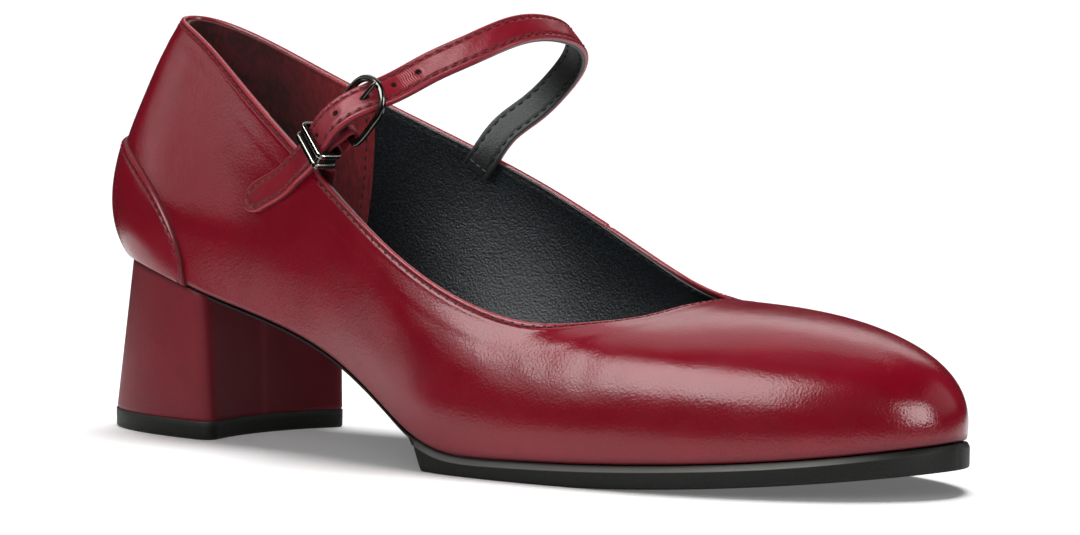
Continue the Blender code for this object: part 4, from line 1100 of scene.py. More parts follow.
def buildHeel():
    # rings from the seat to the lift, p = plan + (foot - plan) share, rounded at both ends
    plan, isBreast, arcCount = heelPlan(-heel["inset"])
    foot = heelFoot(plan)
    topHeight = soleTop(plan[:, 0])
    bottomHeight = np.full(len(plan), shoe["liftHeight"] + heel["footGap"])
    tall = topHeight.max() - shoe["liftHeight"]
    fromSeam = np.arange(len(plan)) - (len(plan) - 0.5 * arcCount)
    nearSeam = bell(fromSeam, heel["seamWidth"]) * isBreast
    rings = discRings(plan, (0.05, 0.5, 0.9), soleTop)
    shares = np.arange(heel["rings"] + 1) / heel["rings"]
    for share in shares:
        cut = roundFall(heel["topRound"], share * tall)
        cut += roundFall(heel["footRound"], (1 - share) * tall)
        spot = inwards(plan + (foot - plan) * share, cut)
        spot[:, 0] += heel["seamHeight"] * nearSeam
        rings.append(np.column_stack([spot, topHeight + (bottomHeight - topHeight) * share]))
    rings += discRings(foot, (0.9, 0.5, 0.05), lambda x: bottomHeight)
    # painted shade on the closed ends, under the join with the sole and over the breast; painted
    # highlight along the top edge and the breast's seam
    decks = np.full(3, 0.6)
    shade = np.concatenate([decks, 0.55 * bell(shares * tall, 0.9), decks])[:, None]
    shade = np.maximum(shade, 0.45 * smooth(0.0, 1.0, isBreast))
    edge = np.concatenate([np.zeros(3), 0.25 * (shares < 0.012), np.zeros(3)])[:, None]
    edge = edge + 0.5 * nearSeam
    makePiece("heelCover", np.array(rings), cappedFaces(len(rings), len(plan)), finishes["cover"],
              ["heel_block"], {"edge": edge, "shade": shade}, sharpAngle=50.0)


def buildLift():
    foot = heelFoot(heelPlan(0.0)[0])
    flat = np.ones(len(foot))
    rings = discRings(foot, (0.05, 0.5, 0.92), lambda x: flat * shoe["liftHeight"])
    for inset, down, _ in liftRows:
        rings.append(np.column_stack([inwards(foot, inset), flat * (shoe["liftHeight"] - down)]))
    rings += discRings(foot, (0.9, 0.5, 0.05), lambda x: 0.0 * flat)
    # painted highlight on the lift's rounded edges
    litStrip = np.array([0.0] * 3 + [edgeLight for _, _, edgeLight in liftRows] + [0.0] * 3)[:, None] * flat
    makePiece("heelLift", np.array(rings), cappedFaces(len(rings), len(foot)), finishes["sole"],
              ["top_piece"], {"litStrip": 0.35 * litStrip}, sharpAngle=50.0)


buildHeel()
buildLift()
print("heel done")

strap = {
    "columns": 45, "liningColumns": 33,
    "width": 8.0, "thick": 2.0, "leather": 1.15, "tip": 6.0,
    "grooveIn": 1.35, "grooveDepth": 0.17, "grooveWidth": 0.38,
    "edgeRound": 0.6, "liningRound": 0.4, "crown": 0.08, "bunching": 0.93,
    "holeRadius": 0.78, "holeDepth": 0.9,
    "holes": (36.0, 43.2, 51.2, 58.8, 66.0),    # from the tip
    "crinkleFrom": 59.6, "crinkleTo": 66.4, "crinkleDepth": 0.045, "waveDepth": 0.03,
}
# on the upper: rib, rise, lift of the centre line
strapBase = [(17.63, 0.89, -3.7), (17.55, 0.98, -3.7)]
strapTail = [(4.08, 0.94, 1.9), (3.90, 0.81, 1.5), (3.66, 0.68, 1.45), (3.44, 0.56, 1.45)]
# free loop: x, y, z, and the way its front edge points
strapLoop = [
    (68.5, 31.8, 78.0, 0.68, 0.00, -0.73), (74.0, 36.0, 83.5, 0.68, 0.00, -0.73),
    (80.5, 37.8, 89.8, 0.68, 0.00, -0.73), (88.0, 34.8, 96.2, 0.68, 0.00, -0.73),
    (93.6, 27.0, 101.2, 0.68, 0.00, -0.73), (96.2, 15.0, 104.1, 0.68, 0.00, -0.73),
    (95.2, 0.0, 103.8, 0.68, 0.00, -0.73), (89.5, -10.5, 99.3, 0.68, -0.05, -0.73),
    (83.0, -17.5, 95.0, 0.67, -0.10, -0.73), (78.0, -25.0, 90.4, 0.66, -0.18, -0.72),
    (74.7, -31.4, 87.6, 0.64, -0.26, -0.72), (69.6, -35.4, 84.2, 0.62, -0.30, -0.72),
    (65.2, -36.8, 79.6, 0.62, -0.26, -0.74), (61.4, -36.2, 75.0, 0.60, -0.22, -0.76),
]


def strapTable():
    # centre line by length, with the way that the front edge points
    loop = np.array(strapLoop, float)
    ends = []
    for rows in (strapBase, strapTail):
        table = np.array(rows, float)
        ends.append((upperLift(table[:, 0], table[:, 1], table[:, 2]),
                     upperWays(table[:, 0], table[:, 1])[2]))
    points = np.vstack([ends[0][0], loop[:, :3], ends[1][0]])
    along = np.gradient(points, axis=0)
    fronts = np.vstack([np.cross(ends[0][1], along[:2]), loop[:, 3:],
                        np.cross(ends[1][1], along[-4:])])
    knots = runAlong(points)
    fine = np.linspace(0.0, knots[-1], 900)
    line = openSpline(knots, points)(fine)
    return runAlong(line), line, openSpline(knots, unit(fronts))(fine)


strapRun, strapLine, strapFronts = strapTable()
strapLength = strapRun[-1]


def strapWays(length):
    # point, tangent, way to the front edge, way out of the red face
    lines = (strapLine, strapFronts, np.gradient(strapLine, strapRun, axis=0))
    point, front, tangent = (readLine(length, strapRun, line) for line in lines)
    tangent = unit(tangent)
    front = squareTo(front, tangent)
    return point, tangent, front, np.cross(tangent, front)


def strapPoint(length, across, lift):
    point, _, front, out = strapWays(length)
    return point + np.asarray(across)[..., None] * front + np.asarray(lift)[..., None] * out


def strapStations(step):
    # length and half-width share: full to the tip's start, then a half ellipse; finer
    # stations where the leather is crinkled
    straight = np.arange(0.0, strapLength - strap["tip"], step)
    first, last = strapLength - strap["crinkleTo"] - 1, strapLength - strap["crinkleFrom"] + 1
    fine = np.arange(first, last, 0.12)
    clear = (straight < fine[0] - 0.1) | (straight > fine[-1] + 0.1)
    straight = np.union1d(straight[clear], fine)
    turn = np.radians(np.linspace(0.0, 86.0, 26))
    length = np.concatenate([straight, strapLength - strap["tip"] * (1 - np.sin(turn))])
    return length, np.concatenate([np.ones(len(straight)), np.cos(turn)])


def strapRelief(length, across, inset):
    # crown (1 - (y / half)^2), less the stitch groove's bell, plus crinkles by the holes
    # sin(9.8 x + 1.4 sin 1.3 y + 0.9 sin 3.1 y) and one soft wave, less a rounded edge
    half = strap["width"] / 2
    lift = strap["crown"] * (1 - (across / half) ** 2)
    lift -= strap["grooveDepth"] * bell(inset - strap["grooveIn"], strap["grooveWidth"])
    fromTip = strapLength - length
    start, end = strap["crinkleFrom"], strap["crinkleTo"]
    band = smooth(start, start + 2, fromTip) * smooth(end, end - 2, fromTip)
    ripple = np.sin(fromTip * 9.8 + 1.4 * np.sin(across * 1.3) + 0.9 * np.sin(across * 3.1))
    middle = smooth(1.6, 2.3, inset)
    lift += strap["crinkleDepth"] * band * ripple * middle
    lift += strap["waveDepth"] * np.sin(fromTip * 0.9 + across) * middle
    return lift - roundFall(strap["edgeRound"], inset)


def punchHole(fromTip, along, across):
    # points near the rim are drawn onto a true circle; those inside it are spread and
    # are the ones to go down
    radius = strap["holeRadius"]
    dx = along - (strapLength - fromTip)
    far = np.hypot(dx, across)
    onto, inside = np.abs(far - radius) < 0.15, far < radius - 0.15
    scale = np.where(onto, radius / np.maximum(far, 1e-6), 1.0)
    wide = np.where(inside, 0.8 * (radius / np.maximum(far, 0.3)) ** 0.35, scale)
    wide = np.minimum(np.where(far < 0.05, 1.0, wide), 1.6)
    moved = onto | inside
    return (np.where(moved, strapLength - fromTip + dx * wide, along),
            np.where(moved, across * wide, across), far, inside)


def buildStrap():
    # red face at thick / 2 + relief, its edge's inset half (1 - sqrt(past^2 + (y / half)^2))
    # round the tip; then a flat underside
    length, share = strapStations(0.27)
    cols, width = strap["columns"], strap["width"]
    half = width / 2 * share
    across = half[:, None] * bunched(cols, math.pi / 2 * strap["bunching"])
    along = np.repeat(length[:, None], cols, axis=1)
    past = np.clip((along - strapLength + strap["tip"]) / strap["tip"], 0.0, 1.0)
    reach = np.sqrt(past**2 + (across / (width / 2)) ** 2)
    inset = np.clip(1.0 - reach, 0.0, 1.0) * width / 2
    lift = strap["thick"] / 2 + strapRelief(along, across, inset)
    # the next array gathers painted shade in and round each punched hole
    holeShadow = np.zeros(along.shape)
    for fromTip in strap["holes"]:
        along, across, far, inside = punchHole(fromTip, along, across)
        lift = lift - strap["holeDepth"] * inside
        lift -= 0.07 * smooth(1.7, 0.8, far) * ~inside
        holeShadow = np.maximum(holeShadow, np.maximum(inside * 1.0, 0.45 * smooth(1.15, 0.75, far)))
    face = strapPoint(along, across, lift)
    below = strap["thick"] / 2 - strap["leather"]
    under = np.stack([strapPoint(length, half * side * 0.985, below)
                      for side in (1.0, 0.6, 0.2, -0.2, -0.6, -1.0)], axis=1)
    points = np.concatenate([face, under], axis=1)
    rows, loop = points.shape[:2]
    fromLine = inset - strap["grooveIn"]
    # painted highlight along the rounded edges
    edge = np.full((rows, loop), 0.2)
    edge[:, :cols] = 0.5 * smooth(0.75, 0.2, inset)
    # painted shade in and round the holes and in the stitch groove; the foot inside the shoe is
    # darkened too
    shade = np.zeros((rows, loop))
    shade[:, :cols] = np.clip(holeShadow + 0.35 * bell(fromLine, 0.42), 0.0, 1.0)
    shade = np.maximum(shade, smooth(6.5, 4.5, length)[:, None])
    away = np.full((rows, loop + 1), farAway)
    away[:, :cols] = fromLine
    seamMap = np.stack([np.repeat(length[:, None], loop + 1, axis=1), away], axis=-1)
    plain = [np.full((1, loop, 2), farAway)] * 2
    makePiece("strapLeather", points, cappedFaces(rows, loop), finishes["strap"],
              ["strap"], {"edge": edge, "shade": shade}, [cornerMap(seamMap), *plain])


def buildStrapLining():
    # black underside at -thick / 2, set in by a hair, rounded up at its edge and raised
    # by a bell under the stitches
    length, share = strapStations(0.6)
    cols = strap["liningColumns"]
    half = strap["width"] / 2 * share - 0.12
    across = half[:, None] * np.sin(np.linspace(-math.pi / 2, math.pi / 2, cols))
    inset = half[:, None] - np.abs(across)
    lift = roundFall(strap["liningRound"], inset) - strap["thick"] / 2
    lift += 0.14 * bell(inset - strap["grooveIn"] + 0.1, strap["grooveWidth"])
    face = strapPoint(np.repeat(length[:, None], cols, axis=1), across, lift)
    top = np.stack([strapPoint(length, half * side, -0.13)
                    for side in (1.0, 0.5, 0.0, -0.5, -1.0)], axis=1)
    points = np.concatenate([face, top], axis=1)
    edge = np.zeros(points.shape[:2])
    # painted highlight along the rounded edges
    edge[:, :cols] = 0.6 * smooth(0.5, 0.1, inset)
    makePiece("strapLining", points, cappedFaces(*points.shape[:2]), finishes["strapLining"],
              (), {"edge": edge})


buildStrap()
buildStrapLining()
print("strap done, length", round(strapLength, 1))

buckle = {
    "barFromTip": 41.0, "reach": 13.2, "barDepth": 5.2, "farLift": 3.35,
    "barRadius": 0.8, "wireRadius": 0.88, "wireSteps": 180, "halfWidth": 6.0,
    "arc": 0.46, "arcPower": 0.85,
    "pinRadius": 0.6, "pinPast": 1.0,
    "chapeThick": 1.0, "chapeInset": 0.2, "chapeGap": 0.7, "chapeRib": 4.28, "slot": 2.4,
    "keeperFromTip": 33.2, "keeperLength": 4.6, "keeperBand": 1.0, "keeperRoom": 0.95,
}


def buckleAxes():
    # bar's middle, ways ahead, to the front and out, and the frame's reach
    bar, _, frontA, outA = strapWays(strapLength - buckle["barFromTip"])
    far, _, frontB, outB = strapWays(strapLength - buckle["barFromTip"] - buckle["reach"])
    bar, far = bar - buckle["barDepth"] * outA, far + buckle["farLift"] * outB
    reach = np.linalg.norm(far - bar)
    ahead = (far - bar) / reach
    front = squareTo(frontA + frontB, ahead)
    return bar, ahead, front, np.cross(front, ahead), reach


bar, ahead, barFront, barOut, frameReach = buckleAxes()


def sweptLoop(name, centres, wides, outs, profile, finish, replaced, closed, tones=None,
              scale=None):
    # profile (across, out) carried along a line of frames, closed in a ring or capped
    profile = np.repeat(profile[None], len(centres), axis=0)
    if scale is not None:
        profile = profile * scale[:, None, None]
    points = centres[:, None] + profile[..., :1] * wides[:, None] + profile[..., 1:] * outs[:, None]
    rows, cols = points.shape[:2]
    faces = [tubeFaces(rows, cols, closeRows=True)] if closed else cappedFaces(rows, cols)
    return makePiece(name, points, faces, finish, replaced, tones, sharpAngle=40.0)


def circle(radius, degrees):
    turn = np.radians(degrees)
    return radius * np.stack([np.cos(turn), np.sin(turn)], axis=1)


def roundWire(sides):
    turn = np.arange(sides) * 2 * math.pi / sides
    return np.stack([np.cos(turn), np.sin(turn)], axis=1)


def buildWire():
    # D-shaped frame: straight bar, rounded corners, squared arc |cos|^power
    turn = np.radians(np.linspace(-90, 90, 17))
    bulge = np.abs(np.cos(turn)) ** buckle["arcPower"]
    arc = np.stack([frameReach * (1 - buckle["arc"] + buckle["arc"] * bulge),
                    buckle["halfWidth"] * np.sin(turn)], axis=1)
    corner = buckle["halfWidth"] * np.array([(0.0, -0.80), (0.06, -0.95), (0.20, -1.0)])
    middle = buckle["halfWidth"] * np.array([(0.0, 0.4), (0.0, -0.4)])
    outline = np.vstack([middle, corner, arc, corner[::-1] * np.array([1.0, -1.0])])
    ring = np.vstack([outline[-4:], outline, outline[:5]])
    run, count = runAlong(ring), buckle["wireSteps"]
    fine = openSpline(run, ring)(np.linspace(run[4], run[4 + len(outline)], count, endpoint=False))
    centres = bar + fine[:, :1] * ahead + fine[:, 1:] * barFront
    scale = np.where(fine[:, 0] < 0.05, buckle["barRadius"], buckle["wireRadius"])
    sweptLoop("buckleWire", centres, np.cross(ringWay(centres), barOut),
              np.repeat(barOut[None], count, axis=0), roundWire(20), finishes["metal"],
              ["buckle_frame"], True, scale=scale)


def buildPin():
    # wrapped round the bar, then straight out over the far end, thinner at its tip
    loop = buckle["barRadius"] + shoe["gap"] + buckle["pinRadius"]
    bend = circle(loop, np.linspace(-60, -270, 30))
    end = buckle["wireRadius"] + shoe["gap"] + buckle["pinRadius"]
    share = np.linspace(0.0, 1.0, 40)[1:]
    length = frameReach + buckle["pinPast"]
    line = np.vstack([bend, np.stack([share * length, loop + share * (end - loop)], axis=1)])
    centres = bar + line[:, :1] * ahead + line[:, 1:] * barOut
    way = unit(np.gradient(centres, axis=0))
    scale = np.ones(len(line))
    scale[-4:] = (0.97, 0.88, 0.7, 0.35)
    scale[:3] = (0.35, 0.75, 0.95)
    sweptLoop("bucklePin", centres, np.repeat(barFront[None], len(line), axis=0),
              np.cross(way, barFront), buckle["pinRadius"] * roundWire(16), finishes["metal"],
              ["buckle_prong"], False, scale=scale)


def roundedSlab(half, thick, corner, steps=5):
    # section loop of a strip with rounded corners
    loop = []
    for side, tall, first in ((1, 1, 0), (-1, 1, 90), (-1, -1, 180), (1, -1, 270)):
        for turn in np.radians(np.linspace(first, first + 90, steps)):
            loop.append((side * (half - corner) + corner * math.cos(turn),
                         tall * (thick - corner) + corner * math.sin(turn)))
    return np.array(loop)


def chapeLine():
    # from inside the rim, under the tail, through the keeper and round the bar
    thick, rib = buckle["chapeThick"], buckle["chapeRib"]
    inside = -(shoe["wall"] + buckle["chapeGap"] + thick / 2)
    seat = upperLift(rib, (0.82, 0.91, 1.0), inside)
    over = seat[2:] + unit(seat[2:] - seat[1:2])
    half = buckle["keeperLength"] / 2 + shoe["gap"]
    held = strapLength - buckle["keeperFromTip"] - np.array([-half, half])
    under, _, underFront, underOut = strapWays(held)
    kept = under - underOut * (strap["thick"] / 2 + buckle["chapeGap"] + thick / 2)
    loop = buckle["barRadius"] + shoe["gap"] + thick / 2
    fold = np.vstack([circle(loop, np.linspace(90, -90, 9)), [(-2.4, -loop), (-4.4, -loop)]])
    wrap = bar + fold[:, :1] * ahead + fold[:, 1:] * barOut
    rows = np.vstack([seat, over, kept, wrap])
    rimWay = unit(upperPoint(rib + 0.1, 0.95) - upperPoint(rib - 0.1, 0.95))
    wides = np.vstack([[rimWay] * 4, underFront, [barFront] * len(wrap)])
    knots = runAlong(rows)
    turned = knots[len(seat) + 3]
    fine = np.concatenate([np.linspace(0.0, turned, 60)[:-1], np.linspace(turned, knots[-1], 70)])
    line = openSpline(knots, rows)(fine)
    way = unit(np.gradient(line, axis=0))
    wide = squareTo(readLine(fine, knots, wides), way)
    return line, wide, np.cross(wide, way), loop


def buildChape():
    line, wide, out, loop = chapeLine()
    half = strap["width"] / 2 - buckle["chapeInset"]
    profile = roundedSlab(half, buckle["chapeThick"] / 2, 0.36)
    # painted highlight near the edges; painted shade all along, deeper towards the seat inside the
    # rim
    nearEdge = smooth(0.9, 0.3, half - np.abs(profile[:, 0]))
    low = 0.35 + 0.3 * smooth(60, 30, np.arange(len(line)))
    tones = {"edge": 0.5 * np.repeat(nearEdge[None], len(line), axis=0),
             "shade": np.repeat(low[:, None], len(profile), axis=1)}
    chape = sweptLoop("chapeLeather", line, wide, out, profile, finishes["cover"],
                      ["chape"], False, tones)
    # slot for the pin: a straight cut through the fold
    corners = np.array([(-1, -1), (-1, 1), (1, 1), (1, -1)]) * np.array([buckle["slot"] / 2, 4.0])
    ends = np.array([bar - ahead * (loop + 1.2), bar + ahead * 5.0])
    block = ends[:, None] + corners[None, :, :1] * barFront + corners[None, :, 1:] * barOut
    tool = makePiece("slotTool", block, cappedFaces(2, 4), finishes["cover"])
    change = chape.modifiers.new("slot", "BOOLEAN")
    change.operation, change.solver, change.object = "DIFFERENCE", "EXACT", tool
    bpy.context.view_layer.objects.active = chape
    bpy.ops.object.modifier_apply(modifier="slot")
    bpy.data.objects.remove(tool, do_unlink=True)


def buildKeeper():
    # grooved band carried round a rounded rectangle
    point, tangent, front, out = strapWays(strapLength - buckle["keeperFromTip"])
    high = strap["thick"] / 2 + shoe["gap"]
    low = -(strap["thick"] / 2 + buckle["chapeGap"] + buckle["chapeThick"] + buckle["keeperRoom"])
    centre = point + out * (high + low) / 2
    path = roundedSlab(strap["width"] / 2 + buckle["keeperRoom"], (high - low) / 2, 0.55, 7)
    away = aside(ringWay(path))
    half = buckle["keeperLength"] / 2
    # profile of half the band: where, height share, painted highlight on its corners; then mirrored
    flange = [
        (-half, 0.1, 0.0), (-half, 0.7, 0.0), (-half + 0.08, 0.88, 0.6), (-half + 0.2, 1.0, 1.0),
        (-half + 0.36, 1.0, 0.0), (-1.32, 1.0, 0.0), (-1.15, 1.0, 1.0), (-0.98, 0.93, 0.5),
        (-0.86, 0.75, 0.0), (-0.78, 0.5, 0.0),
    ]
    mirrored = [(-where, tall, bright) for where, tall, bright in flange[::-1]]
    inner = [(half - 0.1, 0.0, 0.0), (-half + 0.1, 0.0, 0.0)]
    where, tall, bright = np.array(flange + [(0.0, 0.46, 0.0)] + mirrored + inner).T
    ring = path[:, None] + (tall * buckle["keeperBand"])[None, :, None] * away[:, None]
    points = centre + where[None, :, None] * tangent + ring[..., :1] * front + ring[..., 1:] * out
    makePiece("keeperBand", points, [tubeFaces(*points.shape[:2], closeRows=True)],
              finishes["metal"], ["keeper"],
              {"edge": np.repeat(bright[None], len(path), axis=0)}, sharpAngle=38.0)


buildWire()
buildPin()
buildChape()
buildKeeper()
print("buckle done")


def stitchRow(line, normals, pitch=stitch["pitch"]):
    # capsules between needle holes, each on the line lifted by
    # arch (1 - (2u-1)^2) - 2 sunk (2u-1)^4, u from hole to hole
    run = runAlong(line)
    count = max(1, round(run[-1] / pitch))
    step = run[-1] / count
    first = (np.arange(count) + 0.5 * (1 - stitch["filled"])) * step
    u = np.linspace(0.0, 1.0, stitch["rings"])
    length = first[:, None] + u * stitch["filled"] * step
    centre, normal = readLine(length, run, line), unit(readLine(length, run, normals))
    side = unit(np.cross(normal, centre[:, -1:] - centre[:, :1]))
    height = stitch["arch"] * (1 - (2 * u - 1) ** 2) - 2 * stitch["sunk"] * (2 * u - 1) ** 4
    centre = centre + height[:, None] * normal
    radius = stitch["radius"] * (0.62 + 0.38 * np.sin(math.pi * u))
    rings, sides = stitch["rings"], stitch["sides"]
    around = roundWire(sides)
    points = centre[:, :, None] + radius[:, None, None] * (
        around[:, :1] * side[:, :, None] + around[:, 1:] * normal[:, :, None])
    starts = np.arange(count)[:, None] * rings * sides
    tube = (tubeFaces(rings, sides)[None] + starts[..., None]).reshape(-1, 4)
    caps = np.concatenate([np.arange(sides)[::-1] + starts,
                           np.arange(sides) + (rings - 1) * sides + starts])
    return points.reshape(-1, 3), [tube, caps]


def sewnPiece(name, rows, finish):
    # several stitch rows (line, normals and perhaps a pitch) joined into one piece
    points, quads, caps, start = [], [], [], 0
    for row in rows:
        made, faces = stitchRow(*row)
        points.append(made)
        quads.append(faces[0] + start)
        caps.append(faces[1] + start)
        start += len(made)
    makePiece(name, np.concatenate(points), [np.concatenate(quads), np.concatenate(caps)],
              finish, sharpAngle=80.0)


def onUpper(at, rise, lift, inner=False):
    # a row's line at a lift off the upper, and its way out (inwards on the lining)
    normal = upperWays(at, rise)[2]
    return upperLift(at, rise, lift), -normal if inner else normal


# how far each row's line lies over the face it is sewn into
threadLift = {
    "topline": 0.06, "inner": 0.12, "counter": -0.14, "strap": -0.08, "foot": 0.06,
    "lining": 0.08, "box": 0.04,
}
# corners of the strap's stitched box: rib, depth under the rim
boxCorners = [(17.36, 2.5), (17.34, 6.6), (17.86, 6.9), (17.88, 2.5)]


def sewTopline():
    # outside in its groove, and inside on the lining
    ring = np.linspace(0.0, ribCount, 1400)
    under = riseUnderRim(ring, upper["stitchDepth"])
    outside = upper["hemStep"] - upper["grooveDepth"] + threadLift["topline"]
    inside = lining["lift"] - lining["thick"] + threadLift["inner"]
    sewnPiece("toplineThread", [onUpper(ring, under, outside)], finishes["thread"])
    sewnPiece("toplineInnerThread", [onUpper(ring, under, inside, inner=True)],
              finishes["innerThread"])


def sewCounter():
    # one row inside the counter's edge
    at, rise = counterOutline(np.radians(np.linspace(-79.0, 79.0, 500)))
    along = np.gradient(upperPoint(at, rise), axis=0)
    at, rise = slideOnUpper(at, rise, along, -counter["inset"])
    swell = sideSwell(at, apart(upperPoint(at, rise), upperPoint(at, 0.0)))
    lift = counter["gap"] + counter["thick"] + threadLift["counter"] + swell
    sewnPiece("counterThread", [onUpper(at, rise, lift)], finishes["thread"])


def sewStrap():
    # both edges on both faces, and round the tip on the red one
    lift, edge = strap["thick"] / 2 + threadLift["strap"], strap["width"] / 2 - strap["grooveIn"]
    length = np.linspace(4.0, strapLength - strap["tip"], 900)
    rows, innerRows = [], []
    out = strapWays(length)[3]
    for side in (-1, 1):
        for face, kept in ((1, rows), (-1, innerRows)):
            kept.append((strapPoint(length, side * edge, face * lift), face * out))
    sewnPiece("strapInnerThread", innerRows, finishes["innerThread"])
    turn = np.linspace(-math.pi / 2, math.pi / 2, 60)
    length = strapLength - strap["tip"] + (strap["tip"] - strap["grooveIn"]) * np.cos(turn)
    rows.append((strapPoint(length, edge * np.sin(turn), lift), strapWays(length)[3]))
    sewnPiece("strapThread", rows, finishes["thread"])


def sewStrapFoot():
    # one row across the strap's foot
    length = np.full(60, 1.9)
    lift = -strap["thick"] / 2 - threadLift["foot"]
    row = strapPoint(length, np.linspace(-2.9, 2.9, 60), lift)
    sewnPiece("strapFootThread", [(row, -strapWays(length)[3], stitch["closePitch"])],
              finishes["paleThread"])


def sewLining():
    # where the suede laps over the black leather
    lift = lining["lift"] - lining["thick"] - lining["overlap"] + threadLift["lining"]
    down = np.linspace(3.0, 34.0, 200)
    rows = []
    for rib in (heelRib + lining["lap"], ribCount - heelRib - lining["lap"]):
        at = np.full(200, rib)
        rows.append(onUpper(at, riseUnderRim(at, down), lift, inner=True))
    sewnPiece("liningThread", rows, finishes["innerThread"])


def sewBox():
    # box on the inner quarter that holds the strap's base
    share = np.linspace(0.0, 1.0, 80)
    rows = []
    for (ribA, deepA), (ribB, deepB) in zip(boxCorners, boxCorners[1:]):
        at = ribA + (ribB - ribA) * share
        rise = riseUnderRim(at, deepA + (deepB - deepA) * share)
        rows.append((*onUpper(at, rise, threadLift["box"]), stitch["closePitch"]))
    sewnPiece("boxThread", rows, finishes["thread"])


sewTopline()
sewCounter()
sewStrap()
sewStrapFoot()
sewLining()
sewBox()
print("stitches done")

stage = {
    "floor": 20.0, "sides": 160, "tableMiddle": (0.06, -0.03, 0.0),
    "floorTone": 0.94, "floorGlow": 0.13, "worldTone": 1.0, "worldLight": 0.02,
}
# the table's edge by direction: degrees from the outer side towards the toe, and metres
tableRows = [
    (0, 0.06), (25, 0.08), (45, 0.095), (67, 0.12), (80, 0.21), (95, 0.24), (140, 0.35),
    (240, 0.35), (275, 0.35), (284, 0.16), (288, 0.09), (291, 0.10), (293.5, 0.115),
    (295.5, 0.155), (297.5, 0.185), (300, 0.205), (306, 0.22), (307.5, 0.60), (311, 0.60),
    (313, 0.08), (320, 0.05), (347, 0.045), (360, 0.06),
]


def buildStage():
    # a pale table top round the shoe, and the same floor on to the far edge, which is
    # kept out of the leather's reflections; both glow a little, to lift the shadows
    finish, _, shader = newFinish("paleFloor", 0.8, **{"Specular IOR Level": 0.2})
    shader.inputs["Base Color"].default_value = (*(stage["floorTone"],) * 3, 1.0)
    shader.inputs["Emission Color"].default_value = (1.0, 1.0, 1.0, 1.0)
    shader.inputs["Emission Strength"].default_value = stage["floorGlow"]
    sides = stage["sides"]
    turn = np.arange(sides) * 2 * math.pi / sides
    ring = np.stack([np.sin(turn), -np.cos(turn), np.zeros(sides)], axis=1)
    reach = np.array(tableRows)
    near = ring * np.interp(np.degrees(turn), reach[:, 0], reach[:, 1])[:, None]
    near += np.array(stage["tableMiddle"])
    far = ring * stage["floor"]
    table = ("tableTop", near, [list(range(sides))])
    rest = ("farFloor", np.vstack([near, far]), tubeFaces(2, sides)[:, ::-1].tolist())
    for name, points, faces in (table, rest):
        mesh = bpy.data.meshes.new(name)
        mesh.from_pydata(points.tolist(), [], faces)
        mesh.materials.append(finish)
        floor = addObject(name, mesh)
        floor.visible_glossy = name == "tableTop"
    world = bpy.data.worlds.new("softWorld")
    bpy.context.scene.world = world
    world.use_nodes = True
    back = world.node_tree.nodes["Background"]
    back.inputs[0].default_value = (*(stage["worldTone"],) * 3, 1.0)
    back.inputs[1].default_value = stage["worldLight"]


# the wide key lamp, and where it stands: degrees round from the outer side towards the
# toe, degrees up, how wide it looks in degrees, and its strength
keyRow = ("keyLight", -150.0, 79.0, 32.0, 3.6)
# soft boxes seen in the leather, all at one distance in metres: degrees round and up,
# width and height in degrees, brightness, and whether they light it or are only mirrored
boxDistance, boxPower, shoeMiddle = 1.6, 4.0, (0.11, 0.0, 0.05)
softBoxRows = [
    ("outerBox", -4.0, 43.0, 46.0, 42.0, 6.6, False),
    ("topBox", -130.0, 56.0, 56.0, 34.0, 0.78, False),
    ("sideBox", -56.0, 22.0, 30.0, 14.0, 0.7, False),
    ("frontBox", -26.0, 17.0, 20.0, 14.0, 1.2, False),
    ("noseBox", 132.0, 26.0, 40.0, 30.0, 0.5, False),
    ("toeBox", 87.0, 15.0, 22.0, 26.0, 7.6, False),
    ("backBox", -155.0, 32.0, 34.0, 18.0, 1.1, False),
    ("heelBox", -76.0, 24.0, 20.0, 14.0, 0.7, False),
    ("fillBox", 25.0, 28.0, 60.0, 30.0, 0.85, True),
]


def awayFrom(azimuth, elevation):
    # way out from the shoe to a lamp
    turn, lift = math.radians(azimuth), math.radians(elevation)
    level = math.cos(lift)
    return Vector((math.sin(turn) * level, -math.cos(turn) * level, math.sin(lift)))


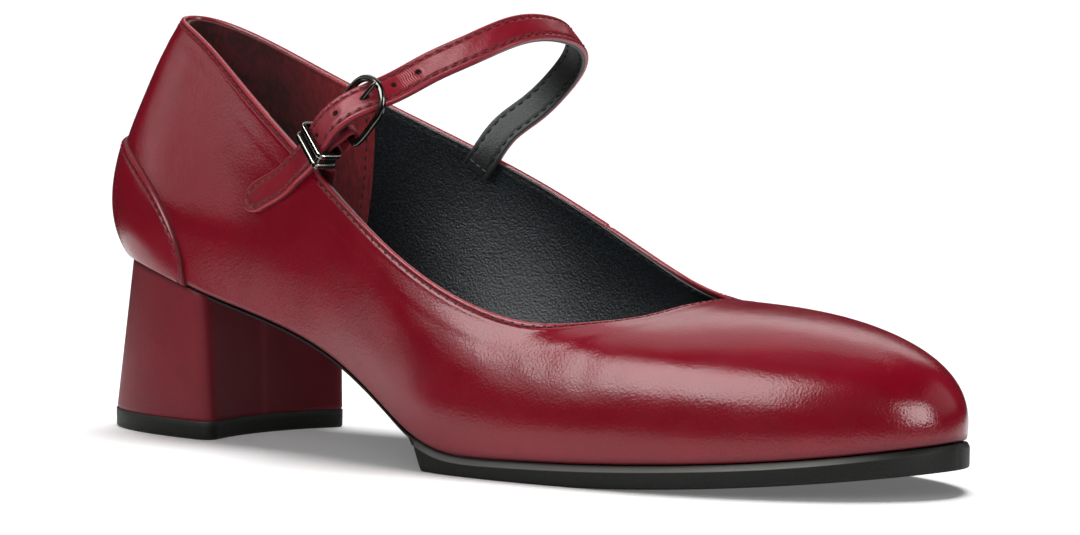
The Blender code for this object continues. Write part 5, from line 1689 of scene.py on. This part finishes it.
def buildLights():
    name, azimuth, elevation, wide, strength = keyRow
    lamp = bpy.data.lights.new(name, "SUN")
    lamp.energy, lamp.angle = strength, math.radians(wide)
    key = addObject(name, lamp)
    key.rotation_euler = awayFrom(azimuth, elevation).to_track_quat("Z", "Y").to_euler()
    key.visible_glossy = False
    for name, azimuth, elevation, wide, tall, brightness, lights in softBoxRows:
        lamp = bpy.data.lights.new(name, "AREA")
        lamp.shape = "RECTANGLE"
        lamp.size = 2 * boxDistance * math.tan(math.radians(wide / 2))
        lamp.size_y = 2 * boxDistance * math.tan(math.radians(tall / 2))
        lamp.energy = boxPower * brightness * lamp.size * lamp.size_y
        made = addObject(name, lamp)
        way = awayFrom(azimuth, elevation)
        made.location = Vector(shoeMiddle) + way * boxDistance
        made.rotation_euler = way.to_track_quat("Z", "Y").to_euler()
        made.visible_diffuse = lights
        made.visible_glossy = not lights


camera = {
    "azimuth": 36.272, "elevation": 4.293, "roll": 0.514, "distance": 1009.844,
    "target": (112.88, -13.05, 47.843), "lens": 140.90, "sensor": 36.0, "clip": (0.05, 200.0),
}


def buildCamera():
    az, el, roll = (math.radians(camera[key]) for key in ("azimuth", "elevation", "roll"))
    ahead = np.array([-math.sin(az) * math.cos(el), math.cos(az) * math.cos(el), -math.sin(el)])
    right = np.array([math.cos(az), math.sin(az), 0.0])
    up = np.cross(right, ahead)
    right, up = (math.cos(roll) * right + math.sin(roll) * up,
                 -math.sin(roll) * right + math.cos(roll) * up)
    data = bpy.data.cameras.new("camera")
    data.lens, data.sensor_width = camera["lens"], camera["sensor"]
    data.clip_start, data.clip_end = camera["clip"]
    made = addObject("camera", data)
    spot = np.array(camera["target"]) - ahead * camera["distance"]
    turned = Matrix(np.column_stack([right, up, -ahead]).tolist()).to_4x4()
    made.matrix_world = Matrix.Translation(Vector(spot * mm)) @ turned
    bpy.context.scene.camera = made


buildStage()
buildLights()
buildCamera()
bpy.context.scene.view_settings.view_transform = "Standard"
print("stage, lights and camera done")
